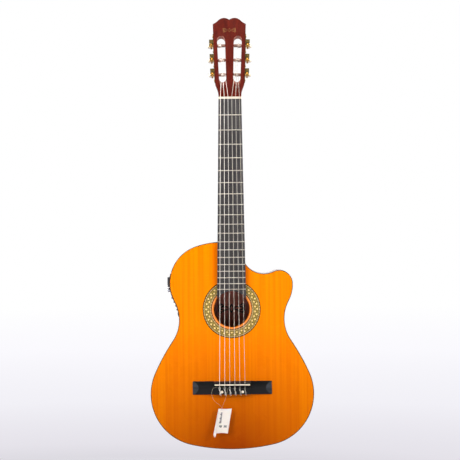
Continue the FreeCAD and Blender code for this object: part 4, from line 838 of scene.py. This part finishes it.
def card():
    """The curled card as a thin closed shell."""
    columns, rows = 40, 36
    points, faces = [], []
    for lift in (0.0, -CARD_THICK):
        for row in range(rows + 1):
            for column in range(columns + 1):
                points.append(on_card(column / columns, row / rows, lift))
    width = columns + 1
    back = width * (rows + 1)
    for row in range(rows):
        for column in range(columns):
            a = row * width + column
            b, c, d = a + 1, a + width + 1, a + width
            faces += [(a, b, c, d), (back + d, back + c, back + b, back + a)]
    rim = list(range(columns)) + [width * r + columns for r in range(rows)]
    rim += [width * rows + c for c in range(columns, 0, -1)]
    rim += [width * r for r in range(rows, 0, -1)]
    for first, second in zip(rim, rim[1:] + rim[:1]):
        faces.append((first, back + first, back + second, second))
    return points, faces


def printed(left, right, top, bottom):
    """A printed bar that follows the card."""
    steps = 6
    points = []
    for step in range(steps + 1):
        down = top + (bottom - top) * step / steps
        for across, lift in ((left, 0.05), (right, 0.05), (right, -0.05), (left, -0.05)):
            points.append(on_card(across, down, lift))
    return strip(points)


hang_card = piece("tag_card", card(), "card", "tag")
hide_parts("hang_tag")

# Printed bars, in shares of the card from its right edge and its top: a column, then a row.
COLUMN_AT, COLUMN_TOP, COLUMN_STEP, BAR_TALL = 0.55, 0.15, 0.057, 0.044
COLUMN_WIDTHS = (0.09, 0.12, 0.08, 0.10, 0.13, 0.09, 0.12, 0.14)
ROW_TOP, ROW_WIDE = 0.68, 0.05
ROW = ((0.16, 0.10), (0.225, 0.08), (0.29, 0.10), (0.48, 0.09), (0.545, 0.10), (0.61, 0.07))
bars = []
for i, width in enumerate(COLUMN_WIDTHS):
    top = COLUMN_TOP + COLUMN_STEP * i
    bars.append(printed(COLUMN_AT, COLUMN_AT + width, top, top + BAR_TALL))
bars += [printed(at, at + ROW_WIDE, ROW_TOP, ROW_TOP + tall) for at, tall in ROW]
piece("tag_print", merged(bars), "print", "tag", smooth=False)

LOOP_ROUTE = (  # mm
    (-23.9, -7.9, -707.2), (-24.8, -8.2, -701.0), (-28.4, -6.6, -696.0), (-34.0, -4.6, -692.6),
    (-40.6, -4.0, -687.4), (-45.6, -4.8, -679.0), (-47.6, -6.0, -670.0), (-46.2, -7.2, -661.4),
    (-42.6, -6.6, -656.4), (-37.6, -5.8, -655.4), (-31.0, -5.4, -655.3), (-24.0, -5.4, -655.3),
    (-18.0, -5.6, -655.3), (-14.0, -6.8, -655.4), (-12.0, -9.5, -656.3), (-11.4, -11.0, -660.2),
    (-12.0, -10.9, -666.6), (-13.4, -10.2, -673.8), (-15.6, -7.6, -681.0), (-18.6, -5.6, -688.4),
    (-21.4, -5.2, -695.4), (-23.0, -5.5, -701.4), (-23.5, -6.1, -707.2),
)


def cord_curve(name, route, diameter, paint):
    """A NURBS cord whose control points are the route's points."""
    curve = bpy.data.curves.new(name, "CURVE")
    curve.dimensions = "3D"
    spline = curve.splines.new("NURBS")
    spline.points.add(len(route) - 1)
    for point, place in zip(spline.points, route):
        point.co = (*(Vector(place) * MM), 1)
    spline.order_u = 3
    spline.use_endpoint_u = True
    spline.resolution_u = 8
    curve.bevel_depth = diameter / 2
    curve.bevel_resolution = 3
    curve.use_fill_caps = True
    curve.materials.append(PAINTS[paint].material)
    made = bpy.data.objects.new(name, curve)
    bpy.context.scene.collection.objects.link(made)
    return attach(made, "guitar")


thread = cord_curve("tag_thread", LOOP_ROUTE, 0.0005, "thread")
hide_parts("tag_loop")

LEAD_ROUTE = (  # mm
    (-85.8, 48, -470), (-76, 49, -476), (-74, 52, -500), (-84, 58, -535), (-106, 64, -575),
    (-128, 66, -620), (-134, 66, -668), (-122, 64, -715), (-92, 60, -750), (-54, 56, -768),
    (-22, 52, -770), (-6, 50.5, -765),
)
lead = cord_curve("inner_lead", LEAD_ROUTE, 0.003, "soft_black")
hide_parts("jack_lead")


# ---------------------------------------------------------------- stage, lights and camera

scene = bpy.context.scene
FLOOR_Z, FLOOR_RADIUS = -0.92, 30.0


def glowing_floor():
    """A pale floor, lit near the guitar, whose painted glow grows to the backdrop's white far from
    it.
    """
    shape = bmesh.new()
    bmesh.ops.create_circle(shape, cap_ends=True, segments=96, radius=FLOOR_RADIUS)
    mesh = bpy.data.meshes.new("floor")
    shape.to_mesh(mesh)
    shape.free()
    floor = bpy.data.objects.new("floor", mesh)
    floor.location = (0, 0, FLOOR_Z)
    scene.collection.objects.link(floor)
    paint = Paint("pale_floor", {"Base Color": (0.80, 0.79, 0.83), "Roughness": 0.7,
                                 "Specular IOR Level": 0.1})
    moved = paint.node("VectorMath", {0: paint.place, 1: (0.3, 0.0, 0.0)}, operation="ADD")
    distance = paint.node("VectorMath", {0: moved}, output=1, operation="LENGTH")
    stops = [(0.065, (0.70, 0.685, 0.735)), (0.10, (0.785, 0.765, 0.82)),
             (0.21, (0.885, 0.875, 0.925)), (0.45, (0.96, 0.952, 0.99)), (0.9, (1.0, 1.0, 1.0))]
    # Painted light: the floor glows, dimmer lilac-grey near the guitar and white far off.
    glow = paint.node("Emission", {0: paint.ramp(paint.level(distance, 0.0, 12.0), stops), 1: 1.0})
    far = paint.level(distance, 0.3, 0.9)
    blend = paint.node("MixShader", {0: far, 1: paint.shader.outputs[0], 2: glow})
    output = paint.tree.nodes["Material Output"]
    paint.tree.links.new(blend, output.inputs[0])
    mesh.materials.append(paint.material)


def backdrop():
    """A white world behind the guitar that is dim on the camera's side."""
    world = bpy.data.worlds.new("backdrop")
    world.use_nodes = True
    scene.world = world
    nodes, links = world.node_tree.nodes, world.node_tree.links
    shader = nodes["Background"]
    shader.inputs[0].default_value = (1.0, 1.0, 1.0, 1)
    rays = nodes.new("ShaderNodeLightPath")
    way = nodes.new("ShaderNodeTexCoord")
    split = nodes.new("ShaderNodeSeparateXYZ")
    cast = nodes.new("ShaderNodeMapRange")
    strength = nodes.new("ShaderNodeMapRange")
    links.new(way.outputs["Generated"], split.inputs[0])
    links.new(split.outputs[1], cast.inputs[0])
    cast.inputs[1].default_value, cast.inputs[2].default_value = -0.55, 0.5
    cast.inputs[3].default_value, cast.inputs[4].default_value = 0.04, 0.8
    links.new(rays.outputs["Is Camera Ray"], strength.inputs[0])
    links.new(cast.outputs[0], strength.inputs[3])
    strength.inputs[4].default_value = 1.0
    links.new(strength.outputs[0], shader.inputs[1])


def softbox(name, place, aim, width, height, power, spread=180):
    """A rectangular light of power watts, whose beam spreads over so many degrees."""
    light = bpy.data.lights.new(name, "AREA")
    light.shape = "RECTANGLE"
    light.size, light.size_y = width, height
    light.energy = power
    light.spread = math.radians(spread)
    made = bpy.data.objects.new(name, light)
    made.location = place
    made.rotation_euler = (Vector(aim) - Vector(place)).to_track_quat("-Z", "Y").to_euler()
    scene.collection.objects.link(made)


glowing_floor()
backdrop()
softbox("key_left", (-1.9, -1.6, 1.0), (0.1, 0.0, 0.22), 0.9, 1.2, 9.0, 52)
softbox("key_right", (2.0, -1.5, 0.9), (-0.1, 0.0, 0.22), 0.9, 1.2, 8.0, 52)
softbox("top", (0.0, -1.0, 2.0), (0.0, 0.0, 0.2), 1.4, 0.9, 6.0, 80)
softbox("low_left", (-2.2, -2.0, -0.6), (0.0, 0.0, -0.6), 0.25, 0.9, 1.0, 60)
softbox("low_right", (2.2, -2.0, -0.6), (0.0, 0.0, -0.6), 0.25, 0.9, 1.0, 60)
softbox("behind", (0.6, 2.6, 1.2), (0.0, 0.0, -0.4), 2.2, 1.6, 30)

CAMERA_PLACE, CAMERA_ROLL = (-0.0023, -4.2, -0.2982), math.radians(0.486)
camera_data = bpy.data.cameras.new("camera")
camera_data.sensor_width = 36.0
camera_data.lens = 144.4
camera = bpy.data.objects.new("camera", camera_data)
camera.location = CAMERA_PLACE
camera.rotation_euler = (math.radians(90), CAMERA_ROLL, 0)
scene.collection.objects.link(camera)
scene.camera = camera

scene.view_settings.view_transform = "Standard"
